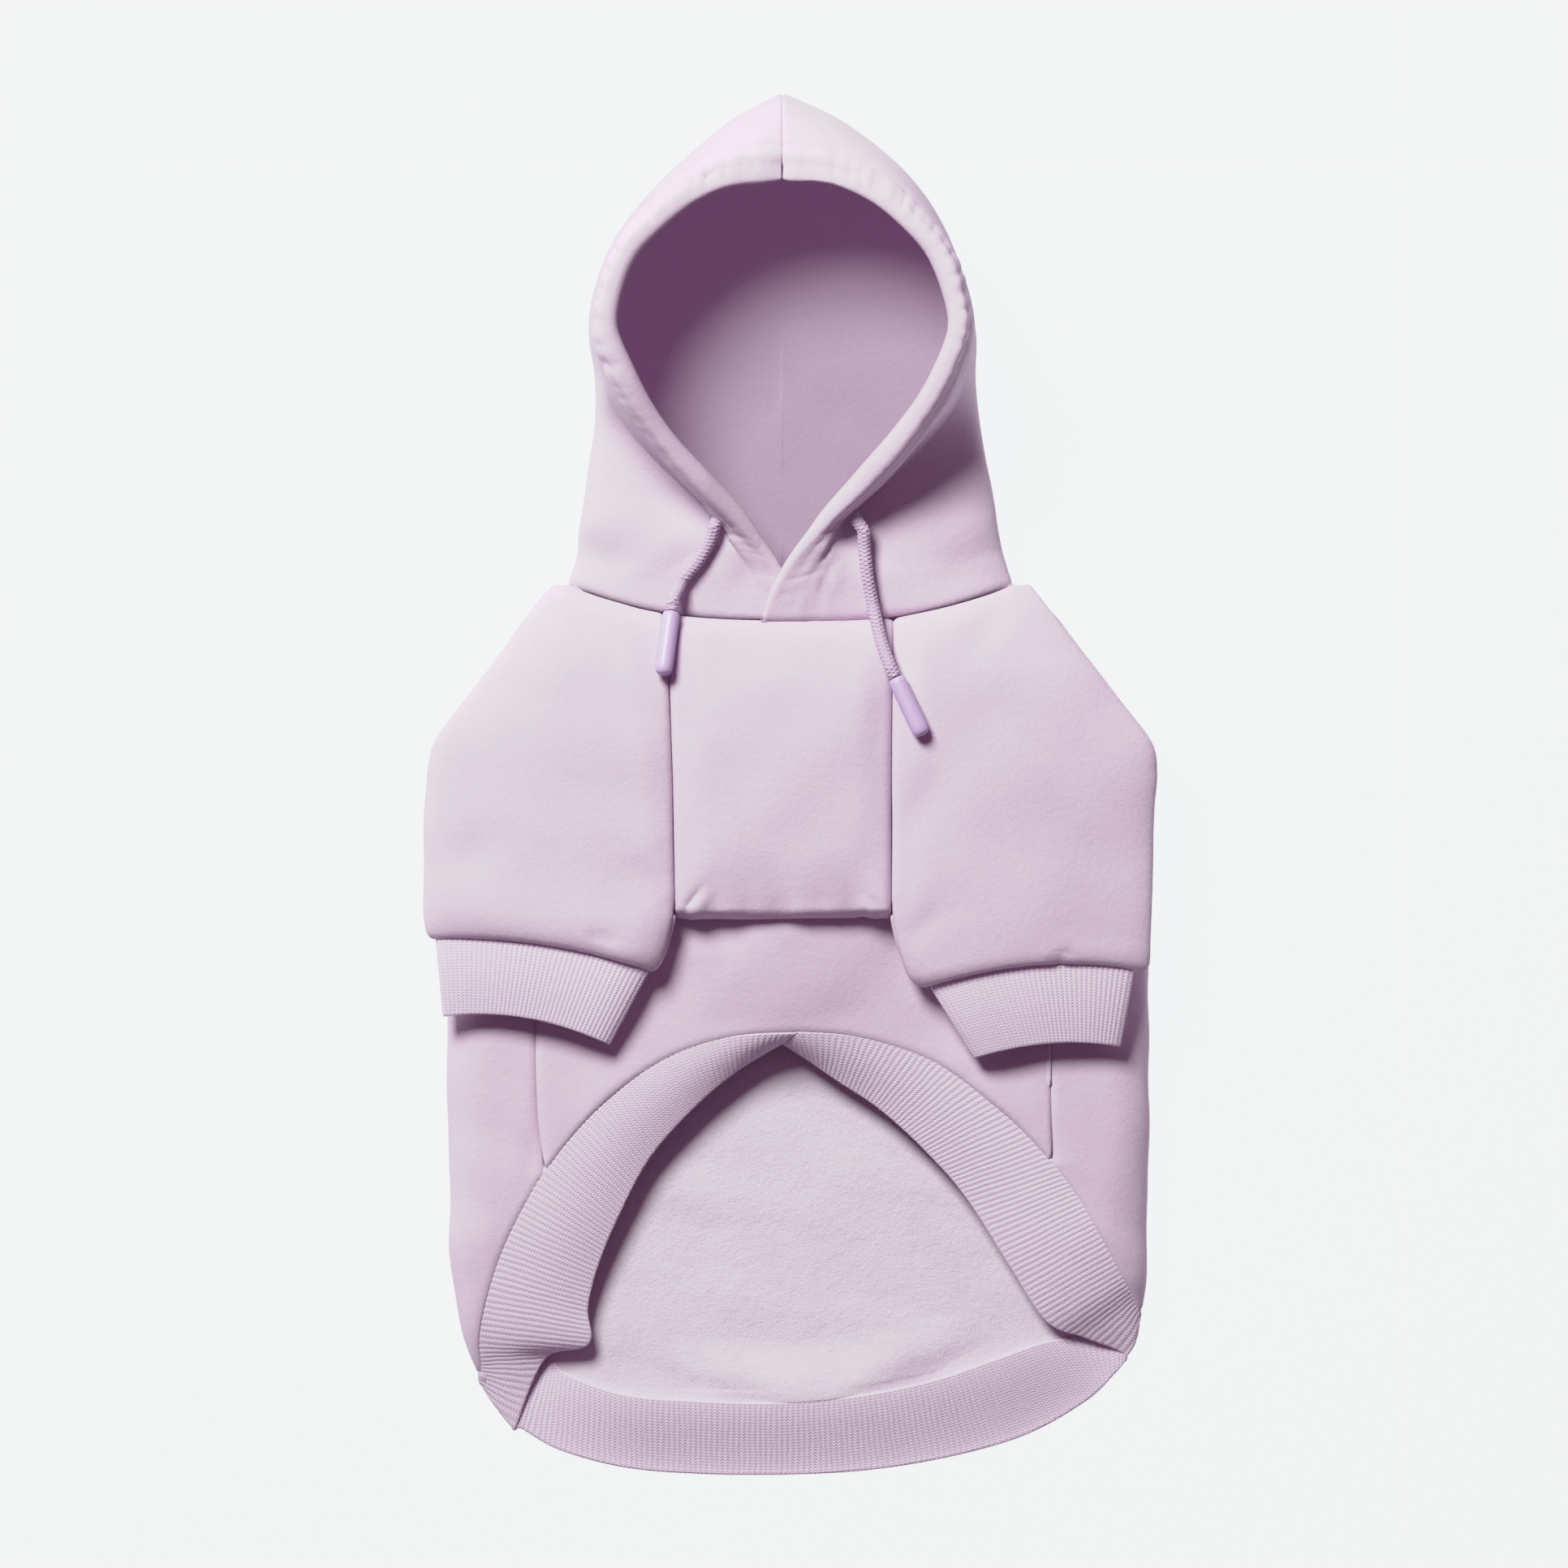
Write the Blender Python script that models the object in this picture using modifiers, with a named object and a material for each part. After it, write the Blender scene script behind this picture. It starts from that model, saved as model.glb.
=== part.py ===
"""A dog's pullover hoodie of brushed fleece, laid flat on its back with its hood standing open.

+Z is up, +Y runs from the hem to the hood, and +X is to the right of someone looking down on the chest.
Every length is in metres. The cloth pieces are open mid-surfaces that a Solidify modifier makes into walls.
While it is modelled, y = 0 is the shoulder line, where the hood is sewn to the back.
"""

import math

import bmesh
import bpy
import numpy as np
from mathutils.bvhtree import BVHTree

# Cloth
CLOTH = 0.0020
RIB_CLOTH = 0.0022
SEAM_GAP = 0.0010
LAYER_GAP = 0.0005

# Torso
BODY_WIDTH = 0.258
BODY_LENGTH = 0.3294
BODY_HEIGHT = 0.0190
BODY_TURN = 0.016
TORSO_HEIGHT = 0.0370
CHEST_WIDTH = 0.0810
CHEST_LEDGE = 0.0036
CHEST_TUCK = 0.0054
ARMHOLE_WIDTH = 0.0515
ARMHOLE_RISE = 0.0235
BELLY_RISE = 0.0085
BELLY_RISE_WIDTH = 0.036
BELLY_RISE_LENGTH = 0.040
SEAM_VALLEY = 0.0022
SEAM_PUFF = 0.014
SIDE_SEAM_WIDENING = 2.6
FOLD_EASE = 0.0024

# Neck and hood
NECK_WIDTH = 0.164
NECK_HEIGHT = 0.0265
NECK_DIP = 0.0138
NECK_GAP = 0.0014
HOOD_WIDTH = 0.141
HOOD_LENGTH = 0.1806
HOOD_HEIGHT = 0.0660
HOOD_LEAN = -0.0030
HOOD_TURN = 0.014
SKIRT_REACH = 0.0085
CASING_RADIUS = 0.0036
FACING_LENGTH = 0.011
FACING_GAP = 0.0008
CROSS_LIFT = 0.0029
PUCKER_DEPTH = 0.0006

# Sleeves and cuffs
SLEEVE_OVERHANG = 0.0057
SHOULDER_STEP = 0.0032
SLEEVE_TURN = 0.012
CUFF_LENGTH = 0.029
CUFF_TUCK = 0.004
CUFF_FREE_HEIGHT = 0.0120

# Drawcord and its dipped ends
CORD_DIAMETER = 0.0048
TIP_DIAMETER = 0.0066
TIP_LENGTH = 0.0235
TIP_GAP = 0.0003
CORD_EASE = 2.6

# Facets
SLEEVE_ROWS = 18
BACK_ROWS = 7
BACK_HEM_ROWS = 8
BACK_MIDDLE = 17
HEM_STEPS = 96
HOOD_ROWS = 22
CUFF_ROWS = 4
CORD_SIDES_RESOLUTION = 2
CORD_STEPS = 16
TIP_SIDES = 12
MERGE = 0.00002

LEFT, RIGHT = -1, 1

# Where the back panel folds up at each side, and how high the body stands, from the shoulder line to the hem.
# down is a share of BODY_LENGTH, left and right of half of BODY_WIDTH, and height of BODY_HEIGHT.
BODY_OUTLINE = (
    # down, left, right, height
    (0.000, 0.628, 0.630, 0.62),
    (0.073, 0.730, 0.735, 0.80),
    (0.175, 0.870, 0.874, 0.96),
    (0.255, 0.935, 0.956, 1.00),
    (0.346, 0.967, 1.009, 1.00),
    (0.483, 0.974, 1.019, 1.00),
    (0.610, 0.973, 1.019, 1.00),
    (0.710, 0.971, 1.018, 0.98),
    (0.765, 0.965, 1.013, 0.94),
    (0.820, 0.946, 0.999, 0.88),
    (0.860, 0.917, 0.960, 0.82),
    (0.905, 0.866, 0.880, 0.76),
)

# Where the cloth that wraps up from the back ends on top of the body: at the armhole, then at the belly seam.
# down is a share of BODY_LENGTH, left and right of half of BODY_WIDTH.
BACK_EDGE = (
    # down, left, right
    (0.000, 0.560, 0.556),
    (0.050, 0.626, 0.622),
    (0.114, 0.695, 0.700),
    (0.178, 0.742, 0.752),
    (0.246, 0.748, 0.752),
    (0.310, 0.742, 0.744),
    (0.358, 0.732, 0.740),
    (0.440, 0.730, 0.740),
    (0.528, 0.730, 0.742),
    (0.600, 0.723, 0.745),
    (0.645, 0.708, 0.748),
)

# A sleeve from its cuff seam up to the neckline.
# seam is the raglan seam, or the inner fold below the armpit: across is a share of half of CHEST_WIDTH.
# out is the outer fold: reach goes from 0 at the shoulder to 1 at the widest place.
# edge is the armhole seam under the sleeve: across is a share of half of BODY_WIDTH.
# down is always a share of BODY_LENGTH. crest goes from 0 at the neck's height to 1 at TORSO_HEIGHT, and fold
# from 0 at a flat seam to 1 at a round fold. bow is a share of BODY_LENGTH by which the middle of the row lies
# nearer the hood.
SLEEVES = {
    LEFT: (
        # seam across, down, out reach, down, edge across, down, crest, fold, bow
        (1.244, 0.434, 0.960, 0.397, 0.000, 0.000, 0.76, 1.00, 0.012),
        (1.176, 0.419, 0.992, 0.378, 0.000, 0.000, 0.94, 1.00, 0.009),
        (1.110, 0.396, 0.994, 0.346, 0.000, 0.000, 1.00, 0.80, 0.005),
        (1.056, 0.373, 0.990, 0.310, 0.000, 0.000, 1.00, 0.30, 0.002),
        (1.054, 0.351, 0.987, 0.282, 0.428, 0.359, 1.00, 0.00, 0.000),
        (1.058, 0.328, 0.982, 0.255, 0.567, 0.326, 1.00, 0.00, 0.000),
        (1.062, 0.300, 0.976, 0.228, 0.690, 0.293, 1.00, 0.00, 0.000),
        (1.067, 0.264, 0.962, 0.202, 0.742, 0.263, 1.00, 0.00, 0.000),
        (1.074, 0.219, 0.905, 0.174, 0.748, 0.232, 1.00, 0.00, 0.000),
        (1.089, 0.164, 0.700, 0.132, 0.742, 0.178, 1.00, 0.00, 0.000),
        (1.104, 0.109, 0.430, 0.080, 0.695, 0.114, 0.92, 0.00, 0.000),
        (1.126, 0.064, 0.190, 0.036, 0.626, 0.050, 0.60, 0.00, 0.000),
        (1.141, 0.034, 0.000, 0.001, 0.560, 0.010, 0.00, 0.00, 0.000),
    ),
    RIGHT: (
        (1.230, 0.452, 0.930, 0.433, 0.000, 0.000, 0.76, 1.00, 0.016),
        (1.096, 0.440, 0.948, 0.412, 0.000, 0.000, 0.94, 1.00, 0.012),
        (0.978, 0.408, 0.958, 0.373, 0.000, 0.000, 1.00, 0.80, 0.006),
        (0.921, 0.373, 0.966, 0.332, 0.000, 0.000, 1.00, 0.30, 0.002),
        (0.919, 0.351, 0.972, 0.301, 0.386, 0.360, 1.00, 0.00, 0.000),
        (0.919, 0.328, 0.978, 0.270, 0.526, 0.332, 1.00, 0.00, 0.000),
        (0.919, 0.300, 0.984, 0.242, 0.676, 0.300, 1.00, 0.00, 0.000),
        (0.919, 0.264, 0.992, 0.214, 0.744, 0.270, 1.00, 0.00, 0.000),
        (0.919, 0.219, 0.955, 0.180, 0.752, 0.234, 1.00, 0.00, 0.000),
        (0.922, 0.164, 0.745, 0.135, 0.752, 0.178, 1.00, 0.00, 0.000),
        (0.926, 0.109, 0.465, 0.083, 0.700, 0.114, 0.92, 0.00, 0.000),
        (0.930, 0.068, 0.215, 0.038, 0.622, 0.052, 0.60, 0.00, 0.000),
        (0.933, 0.042, 0.020, 0.001, 0.556, 0.012, 0.00, 0.00, 0.000),
    ),
}

# The free end of a cuff: how far its inner and outer corners lie in from those of the cuff seam, as shares of
# CUFF_LENGTH, and how far down they are from them, in the same shares.
CUFF_ENDS = {
    # inner in, inner down, outer in, outer down
    LEFT: (0.50, 0.93, 0.09, 1.00),
    RIGHT: (0.56, 0.90, 0.20, 0.97),
}

# The hem band, from the notch in the middle of the belly edge round by the left, the back and the right.
# seam is its edge on the panels and free its other edge: across is a share of half of BODY_WIDTH, down of
# BODY_LENGTH, and lift goes from 0 on the back's cloth to 1 on the belly's.
HEM = (
    # seam across, down, lift, free across, down, lift
    (-0.019, 0.503, 1.00, -0.017, 0.514, 0.52),
    (-0.172, 0.509, 1.00, -0.160, 0.548, 0.74),
    (-0.358, 0.533, 1.00, -0.288, 0.592, 0.82),
    (-0.533, 0.581, 1.00, -0.405, 0.645, 0.84),
    (-0.684, 0.648, 1.00, -0.493, 0.710, 0.84),
    (-0.795, 0.721, 1.00, -0.551, 0.765, 0.82),
    (-0.858, 0.783, 0.94, -0.580, 0.812, 0.80),
    (-0.890, 0.838, 0.82, -0.577, 0.854, 0.74),
    (-0.882, 0.875, 0.66, -0.688, 0.874, 0.68),
    (-0.866, 0.898, 0.30, -0.782, 0.944, 0.32),
    (-0.765, 0.900, 0.01, -0.750, 0.957, 0.05),
    (-0.640, 0.901, 0.00, -0.655, 0.974, 0.00),
    (-0.474, 0.912, 0.00, -0.474, 0.992, 0.00),
    (-0.265, 0.919, 0.00, -0.265, 0.999, 0.00),
    (-0.021, 0.921, 0.00, -0.021, 1.000, 0.00),
    (0.200, 0.913, 0.00, 0.219, 0.995, 0.00),
    (0.409, 0.896, 0.00, 0.456, 0.980, 0.00),
    (0.584, 0.873, 0.00, 0.670, 0.956, 0.00),
    (0.733, 0.853, 0.00, 0.834, 0.921, 0.00),
    (0.890, 0.844, 0.03, 0.915, 0.893, 0.05),
    (0.990, 0.826, 0.38, 0.956, 0.866, 0.30),
    (0.980, 0.800, 0.72, 0.845, 0.846, 0.64),
    (0.950, 0.776, 0.90, 0.735, 0.828, 0.76),
    (0.888, 0.730, 1.00, 0.632, 0.768, 0.84),
    (0.802, 0.676, 1.00, 0.502, 0.688, 0.84),
    (0.702, 0.628, 1.00, 0.386, 0.636, 0.84),
    (0.591, 0.586, 1.00, 0.258, 0.590, 0.84),
    (0.409, 0.536, 1.00, 0.130, 0.556, 0.78),
    (0.195, 0.509, 1.00, 0.049, 0.533, 0.66),
    (-0.008, 0.503, 1.00, -0.006, 0.516, 0.52),
)
# The rows of HEM where the band passes the corners of the belly panel and the side folds.
HEM_LEFT_CORNER, HEM_LEFT_FOLD, HEM_RIGHT_FOLD, HEM_RIGHT_CORNER = 4.13, 9.0, 20.0, 24.55

# One side of the hood, from the crossing at the throat up the face opening to the crown.
# across is a share of half of HOOD_WIDTH, up of HOOD_LENGTH, lift of HOOD_HEIGHT, and roll of CASING_RADIUS.
# out is the silhouette, back the middle seam underneath, level the height of the cloth beside the rim as a share
# of NECK_HEIGHT, and skirt says how far the rim stands up from that cloth like a collar. lean moves the
# silhouette to the right, as a share of half of HOOD_WIDTH.
HOOD = (
    # rim across, up, lift, out across, up, back up, roll, level, skirt, lean
    (-0.100, -0.078, 0.40, 1.163, 0.000, 0.000, 0.42, 1.00, 0.0, 0.000),
    (-0.030, -0.018, 0.42, 1.112, 0.050, 0.045, 0.44, 0.97, 0.2, 0.012),
    (0.070, 0.048, 0.46, 1.088, 0.108, 0.100, 0.50, 0.95, 0.6, 0.020),
    (0.225, 0.118, 0.54, 1.062, 0.176, 0.170, 0.70, 0.93, 1.0, 0.037),
    (0.430, 0.196, 0.66, 1.034, 0.252, 0.250, 0.92, 0.90, 1.0, 0.028),
    (0.640, 0.290, 0.80, 1.002, 0.334, 0.330, 1.00, 0.86, 0.8, 0.028),
    (0.830, 0.400, 0.93, 0.984, 0.424, 0.420, 1.00, 0.80, 0.3, 0.017),
    (0.949, 0.512, 1.00, 1.000, 0.514, 0.510, 1.00, 0.70, 0.0, 0.000),
    (0.928, 0.598, 1.00, 0.962, 0.608, 0.600, 1.00, 0.60, 0.0, -0.005),
    (0.834, 0.684, 0.98, 0.868, 0.704, 0.680, 1.00, 0.60, 0.0, 0.000),
    (0.664, 0.751, 0.96, 0.697, 0.800, 0.760, 1.00, 0.60, 0.0, 0.021),
    (0.485, 0.801, 0.94, 0.494, 0.880, 0.830, 1.00, 0.60, 0.0, 0.034),
    (0.272, 0.832, 0.92, 0.262, 0.950, 0.880, 1.00, 0.60, 0.0, 0.020),
    (0.000, 0.840, 0.88, 0.000, 1.000, 0.920, 1.00, 0.60, 0.0, 0.000),
)
CROWN_SQUARENESS = 2.0
NECK_SQUARENESS = 3.0

# The free ends of the drawcord, from the casing to the dipped ends.
# across is a share of half of CHEST_WIDTH, down of half of NECK_WIDTH, and rise lifts the cord off the cloth.
CORDS = {
    # across, down, rise
    LEFT: (
        (-0.690, -0.268, 0.045),
        (-0.720, -0.210, 0.020),
        (-0.830, -0.110, 0.000),
        (-0.965, -0.030, 0.000),
        (-1.055, 0.055, 0.000),
        (-1.081, 0.117, 0.000),
    ),
    RIGHT: (
        (0.668, -0.240, 0.045),
        (0.672, -0.165, 0.020),
        (0.700, -0.040, 0.000),
        (0.765, 0.130, 0.000),
        (0.860, 0.320, 0.000),
        (0.950, 0.415, 0.000),
    ),
}
# Where the dipped ends end, in the same shares.
TIP_ENDS = {LEFT: (-1.156, 0.384), RIGHT: (1.200, 0.677)}

COLOURS = {
    # red, green, blue, roughness
    "fleece": (0.72, 0.58, 0.74, 0.90),
    "rib_knit": (0.70, 0.56, 0.74, 0.90),
    "cord_braid": (0.66, 0.50, 0.70, 0.85),
    "dipped_tip": (0.64, 0.49, 0.74, 0.45),
}


def spline(rows, at):
    """The table's row at a place counted in rows, on a smooth curve through them all."""
    rows = np.asarray(rows, float)
    last = len(rows) - 1
    at = min(max(at, 0.0), float(last))
    i = min(int(at), last - 1)
    f = at - i
    before, start, end, after = (rows[min(max(k, 0), last)] for k in (i - 1, i, i + 1, i + 2))
    slope_in, slope_out = (end - before) / 2, (after - start) / 2
    turn = 3 * (end - start) - 2 * slope_in - slope_out
    return start + slope_in * f + turn * f**2 + (slope_in + slope_out - 2 * (end - start)) * f**3


def dense(rows, count=240):
    """A table sampled so finely that straight lines between its rows are smooth."""
    return np.array([spline(rows, at) for at in np.linspace(0, len(rows) - 1, count)])


OUTLINE_CURVE = dense(BODY_OUTLINE)
EDGE_CURVE = dense(BACK_EDGE)


def fold_x(side, y):
    """Where the body's side fold lies at y."""
    share = np.interp(-y / BODY_LENGTH, OUTLINE_CURVE[:, 0], OUTLINE_CURVE[:, 1 if side == LEFT else 2])
    return side * share * BODY_WIDTH / 2


def body_level(x, y):
    """The middle of the cloth on top of the body, away from its side folds."""
    down = -y / BODY_LENGTH
    top = BODY_HEIGHT * np.interp(down, OUTLINE_CURVE[:, 0], OUTLINE_CURVE[:, 3]) - CLOTH / 2
    below = max(0.0, -y - chest_bottom())
    return top + BELLY_RISE * math.exp(-((x / BELLY_RISE_WIDTH) ** 2) - (below / BELLY_RISE_LENGTH) ** 2)


def chest_bottom():
    """How far the chest panel's lower edge lies below the shoulder line."""
    return SLEEVES[LEFT][3][1] * BODY_LENGTH


def belly_top(x):
    """The belly panel's upper edge, which rises to the armholes on both sides of the chest."""
    rise = min(1.0, max(0.0, (abs(x) - CHEST_WIDTH / 2) / ARMHOLE_WIDTH))
    return -chest_bottom() + CHEST_TUCK + ARMHOLE_RISE * rise


def neckline_y(x):
    """The front neckline, which dips in the middle."""
    return -NECK_DIP * (1 - min(abs(2 * x / NECK_WIDTH), 1.0) ** 2.7)


def hem_point(at, free=False):
    """A point on the hem band's seam edge or its free edge, counted in rows of HEM."""
    row = spline(HEM, at)
    across, down, lift = row[3:6] if free else row[0:3]
    x, y = across * BODY_WIDTH / 2, -down * BODY_LENGTH
    return np.array((x, y, CLOTH / 2 + max(0.0, lift) * (body_level(x, y) - CLOTH / 2)))


def hem_places(start, end, count):
    """Places on HEM between two others, evenly spaced along the seam edge."""
    fine = np.linspace(start, end, 400)
    points = np.array([hem_point(at) for at in fine])
    run = np.concatenate(([0], np.cumsum(np.linalg.norm(np.diff(points, axis=0), axis=1))))
    return np.interp(np.linspace(0, run[-1], count), run, fine)


# Lines that sections are made of. Each gives the points after its first one.


def straight(start, end, count):
    start, end = np.asarray(start, float), np.asarray(end, float)
    return [start + (end - start) * i / count for i in range(1, count + 1)]


def level_to_plumb(start, end, count, square=2.0):
    """A quarter turn that leaves start level and reaches end plumb."""
    points = []
    for i in range(1, count + 1):
        angle = math.pi / 2 * i / count
        along, drop = math.sin(angle) ** (2 / square), 1 - max(math.cos(angle), 0.0) ** (2 / square)
        points.append(start + (end - start) * np.array((along, along, drop)))
    return points


def plumb_to_level(start, end, count, square=2.0):
    """A quarter turn that leaves start plumb and reaches end level."""
    turned = level_to_plumb(end, start, count, square)
    return [*reversed(turned[:-1]), np.asarray(end, float)]


def toward(start, end, distance):
    """The plan point this far from start on the way to end, at start's height, at most 0.9 of the way."""
    way = np.array((end[0] - start[0], end[1] - start[1], 0.0))
    length = float(np.linalg.norm(way))
    return np.asarray(start, float) + way * min(0.9, distance / max(length, 1e-9))


def at_height(point, z):
    return np.array((point[0], point[1], z))


# Meshes


def thicken(obj, cloth):
    wall = obj.modifiers.new("Wall", "SOLIDIFY")
    wall.thickness = cloth
    wall.offset = 0.0
    wall.use_even_offset = False
    wall.thickness_clamp = 0.0


def material(name):
    found = bpy.data.materials.get(name)
    if found:
        return found
    made = bpy.data.materials.new(name)
    made.use_nodes = True
    shader = made.node_tree.nodes["Principled BSDF"]
    red, green, blue, roughness = COLOURS[name]
    shader.inputs["Base Color"].default_value = (red, green, blue, 1.0)
    shader.inputs["Roughness"].default_value = roughness
    shader.inputs["Metallic"].default_value = 0.0
    return made


def cloth_piece(name, rows, cloth, finish):
    """A wall of cloth from rows of points. Points that fall together become one."""
    width = len(rows[0])
    mesh = bpy.data.meshes.new(name)
    faces = [
        (r * width + c, r * width + c + 1, (r + 1) * width + c + 1, (r + 1) * width + c)
        for r in range(len(rows) - 1)
        for c in range(width - 1)
    ]
    mesh.from_pydata([tuple(map(float, point)) for row in rows for point in row], [], faces)
    shell = bmesh.new()
    shell.from_mesh(mesh)
    bmesh.ops.remove_doubles(shell, verts=shell.verts, dist=MERGE)
    shell.to_mesh(mesh)
    shell.free()
    obj = bpy.data.objects.new(name, mesh)
    mesh.materials.append(material(finish))
    thicken(obj, cloth)
    mesh.shade_smooth()
    return obj


# Body


def back_half(side, edge, bed_row=None, weight=0.0):
    """Half a row of the back panel: from its edge on top round the side fold to the bed."""
    y = edge[1]
    fold = np.array((fold_x(side, y), y, CLOTH / 2 + 0.48 * (body_level(1.0, y) - CLOTH / 2)))
    fold[0] = side * max(abs(fold[0]), abs(edge[0]))
    turn = np.array((fold[0] - side * BODY_TURN, y, edge[2]))
    if abs(turn[0]) < abs(edge[0]):
        turn = np.array(edge, float)
    bed = np.array((fold[0] - side * BODY_TURN, y, CLOTH / 2))
    top = [np.array(edge, float), *straight(edge, turn, 2), *level_to_plumb(turn, fold, 3)]
    under = plumb_to_level(fold, bed, 3)
    if bed_row is not None:
        under = [point + (end - point) * weight for point, end in zip(under, bed_row)]
    return [*top, *under]


def back_panel():
    """The back: flat on its bed, folded up at both sides, with its scooped lower edge on the hem band."""
    rows = []
    last = BACK_EDGE[-1][0]
    for share in np.linspace(0.0, last, BACK_ROWS):
        y = -share * BODY_LENGTH - (NECK_GAP / 2 if share == 0 else 0.0)
        left = -np.interp(share, EDGE_CURVE[:, 0], EDGE_CURVE[:, 1]) * BODY_WIDTH / 2
        right = np.interp(share, EDGE_CURVE[:, 0], EDGE_CURVE[:, 2]) * BODY_WIDTH / 2
        halves = [
            back_half(side, np.array((x - side_gap(x), y, body_level(1.0, y))))
            for side, x in ((LEFT, left), (RIGHT, right))
        ]
        rows.append(join_halves(halves))
    final = hem_row(len(rows[-1]))
    count = len(halves[0])
    left_places = hem_places(HEM_LEFT_CORNER, HEM_LEFT_FOLD, BACK_HEM_ROWS)
    right_places = hem_places(HEM_RIGHT_CORNER, HEM_RIGHT_FOLD, BACK_HEM_ROWS)
    for k in range(BACK_HEM_ROWS):
        weight = (k / (BACK_HEM_ROWS - 1)) ** 2.2
        ends = hem_point(left_places[k]), hem_point(right_places[k])
        if k == 0:
            ends = [end + np.array((-side_gap(end[0]), 0, 0)) for end in ends]
        left = back_half(LEFT, ends[0], final[count - 3 : count], weight)
        right = back_half(RIGHT, ends[1], final[-count : -count + 3][::-1], weight)
        row = join_halves((left, right))
        for c in range(count, len(row) - count):
            row[c] = row[c] + (final[c] - row[c]) * weight
        rows.append(row if k < BACK_HEM_ROWS - 1 else final)
    return cloth_piece("back_panel", rows, CLOTH, "fleece")


def join_halves(halves):
    middle = straight(halves[0][-1], halves[1][-1], BACK_MIDDLE)
    return [*halves[0], *middle[:-1], *reversed(halves[1])]


def side_gap(x):
    """Half a seam's gap, taken off on the side away from the middle of the body."""
    return -math.copysign(SEAM_GAP / 2, x)


def hem_row(count):
    """The back panel's last row, which follows the hem seam round the back from side fold to side fold."""
    top, under = 5, 3
    places = [HEM_LEFT_FOLD] * (top + 1)
    left_bed, right_bed = HEM_LEFT_FOLD + 1.7, HEM_RIGHT_FOLD - 1.7
    places += list(np.linspace(HEM_LEFT_FOLD, left_bed, under + 1)[1:])
    middle = count - 2 * (top + under + 1)
    places += list(hem_places(left_bed, right_bed, middle + 2)[1:-1])
    places += list(np.linspace(right_bed, HEM_RIGHT_FOLD, under + 1)[:-1])
    places += [HEM_RIGHT_FOLD] * (top + 1)
    eased = []
    for at in places:
        near = max(0.0, 1 - min(abs(at - HEM_LEFT_FOLD), abs(at - HEM_RIGHT_FOLD)) / 0.8)
        eased.append(hem_point(at) + np.array((0, near * FOLD_EASE, near * FOLD_EASE / 2)))
    return eased


def belly_panel():
    """The belly between its two side seams, from under the chest down to the scooped hem seam."""
    columns = 27
    rows = []
    down = -belly_top(BODY_WIDTH) / BODY_LENGTH
    ends = (
        -np.interp(down, EDGE_CURVE[:, 0], EDGE_CURVE[:, 1]) * BODY_WIDTH / 2,
        np.interp(down, EDGE_CURVE[:, 0], EDGE_CURVE[:, 2]) * BODY_WIDTH / 2,
    )
    last = len(HEM) - 1
    half = columns // 2
    places = [*hem_places(HEM_LEFT_CORNER, 0, half + 1), *hem_places(last, HEM_RIGHT_CORNER, half + 1)[1:]]
    bottoms = [hem_point(at) for at in places]
    for share in (0.0, 0.08, 0.2, 0.4, 0.62, 0.84, 1.0):
        row = []
        for c in range(columns):
            across = (bottoms[c][0] - bottoms[0][0]) / (bottoms[-1][0] - bottoms[0][0])
            top_x = ends[0] + (ends[1] - ends[0]) * across
            top_y = belly_top(top_x)
            y = top_y + (bottoms[c][1] - top_y) * share
            x = top_x + (bottoms[c][0] - top_x) * share
            if c == 0:
                x = -np.interp(-y / BODY_LENGTH, EDGE_CURVE[:, 0], EDGE_CURVE[:, 1]) * BODY_WIDTH / 2
            if c == columns - 1:
                x = np.interp(-y / BODY_LENGTH, EDGE_CURVE[:, 0], EDGE_CURVE[:, 2]) * BODY_WIDTH / 2
            if c in (0, columns - 1):
                x += side_gap(x)
            row.append(np.array((x, y, body_level(x, y))))
        rows.append(row)
    return cloth_piece("belly_panel", rows, CLOTH, "fleece")


def hem_band():
    """The ribbed band round the whole lower opening, one strip whose ends meet in the notch at the belly."""
    rows = []
    for at in hem_places(0, len(HEM) - 1, HEM_STEPS + 1):
        seam, free = hem_point(at), hem_point(at, free=True)
        lift = spline(HEM, at)[2]
        gap = SEAM_GAP * (1 + SIDE_SEAM_WIDENING * 4 * max(0.0, lift * (1 - lift)))
        start = seam + (free - seam) / np.linalg.norm(free - seam) * gap
        for point in (start, free):
            point[2] = max(point[2], RIB_CLOTH / 2)
        rows.append([start, *straight(start, free, 2)])
    return cloth_piece("hem_band", rows, RIB_CLOTH, "rib_knit")


# Chest and sleeves


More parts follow.
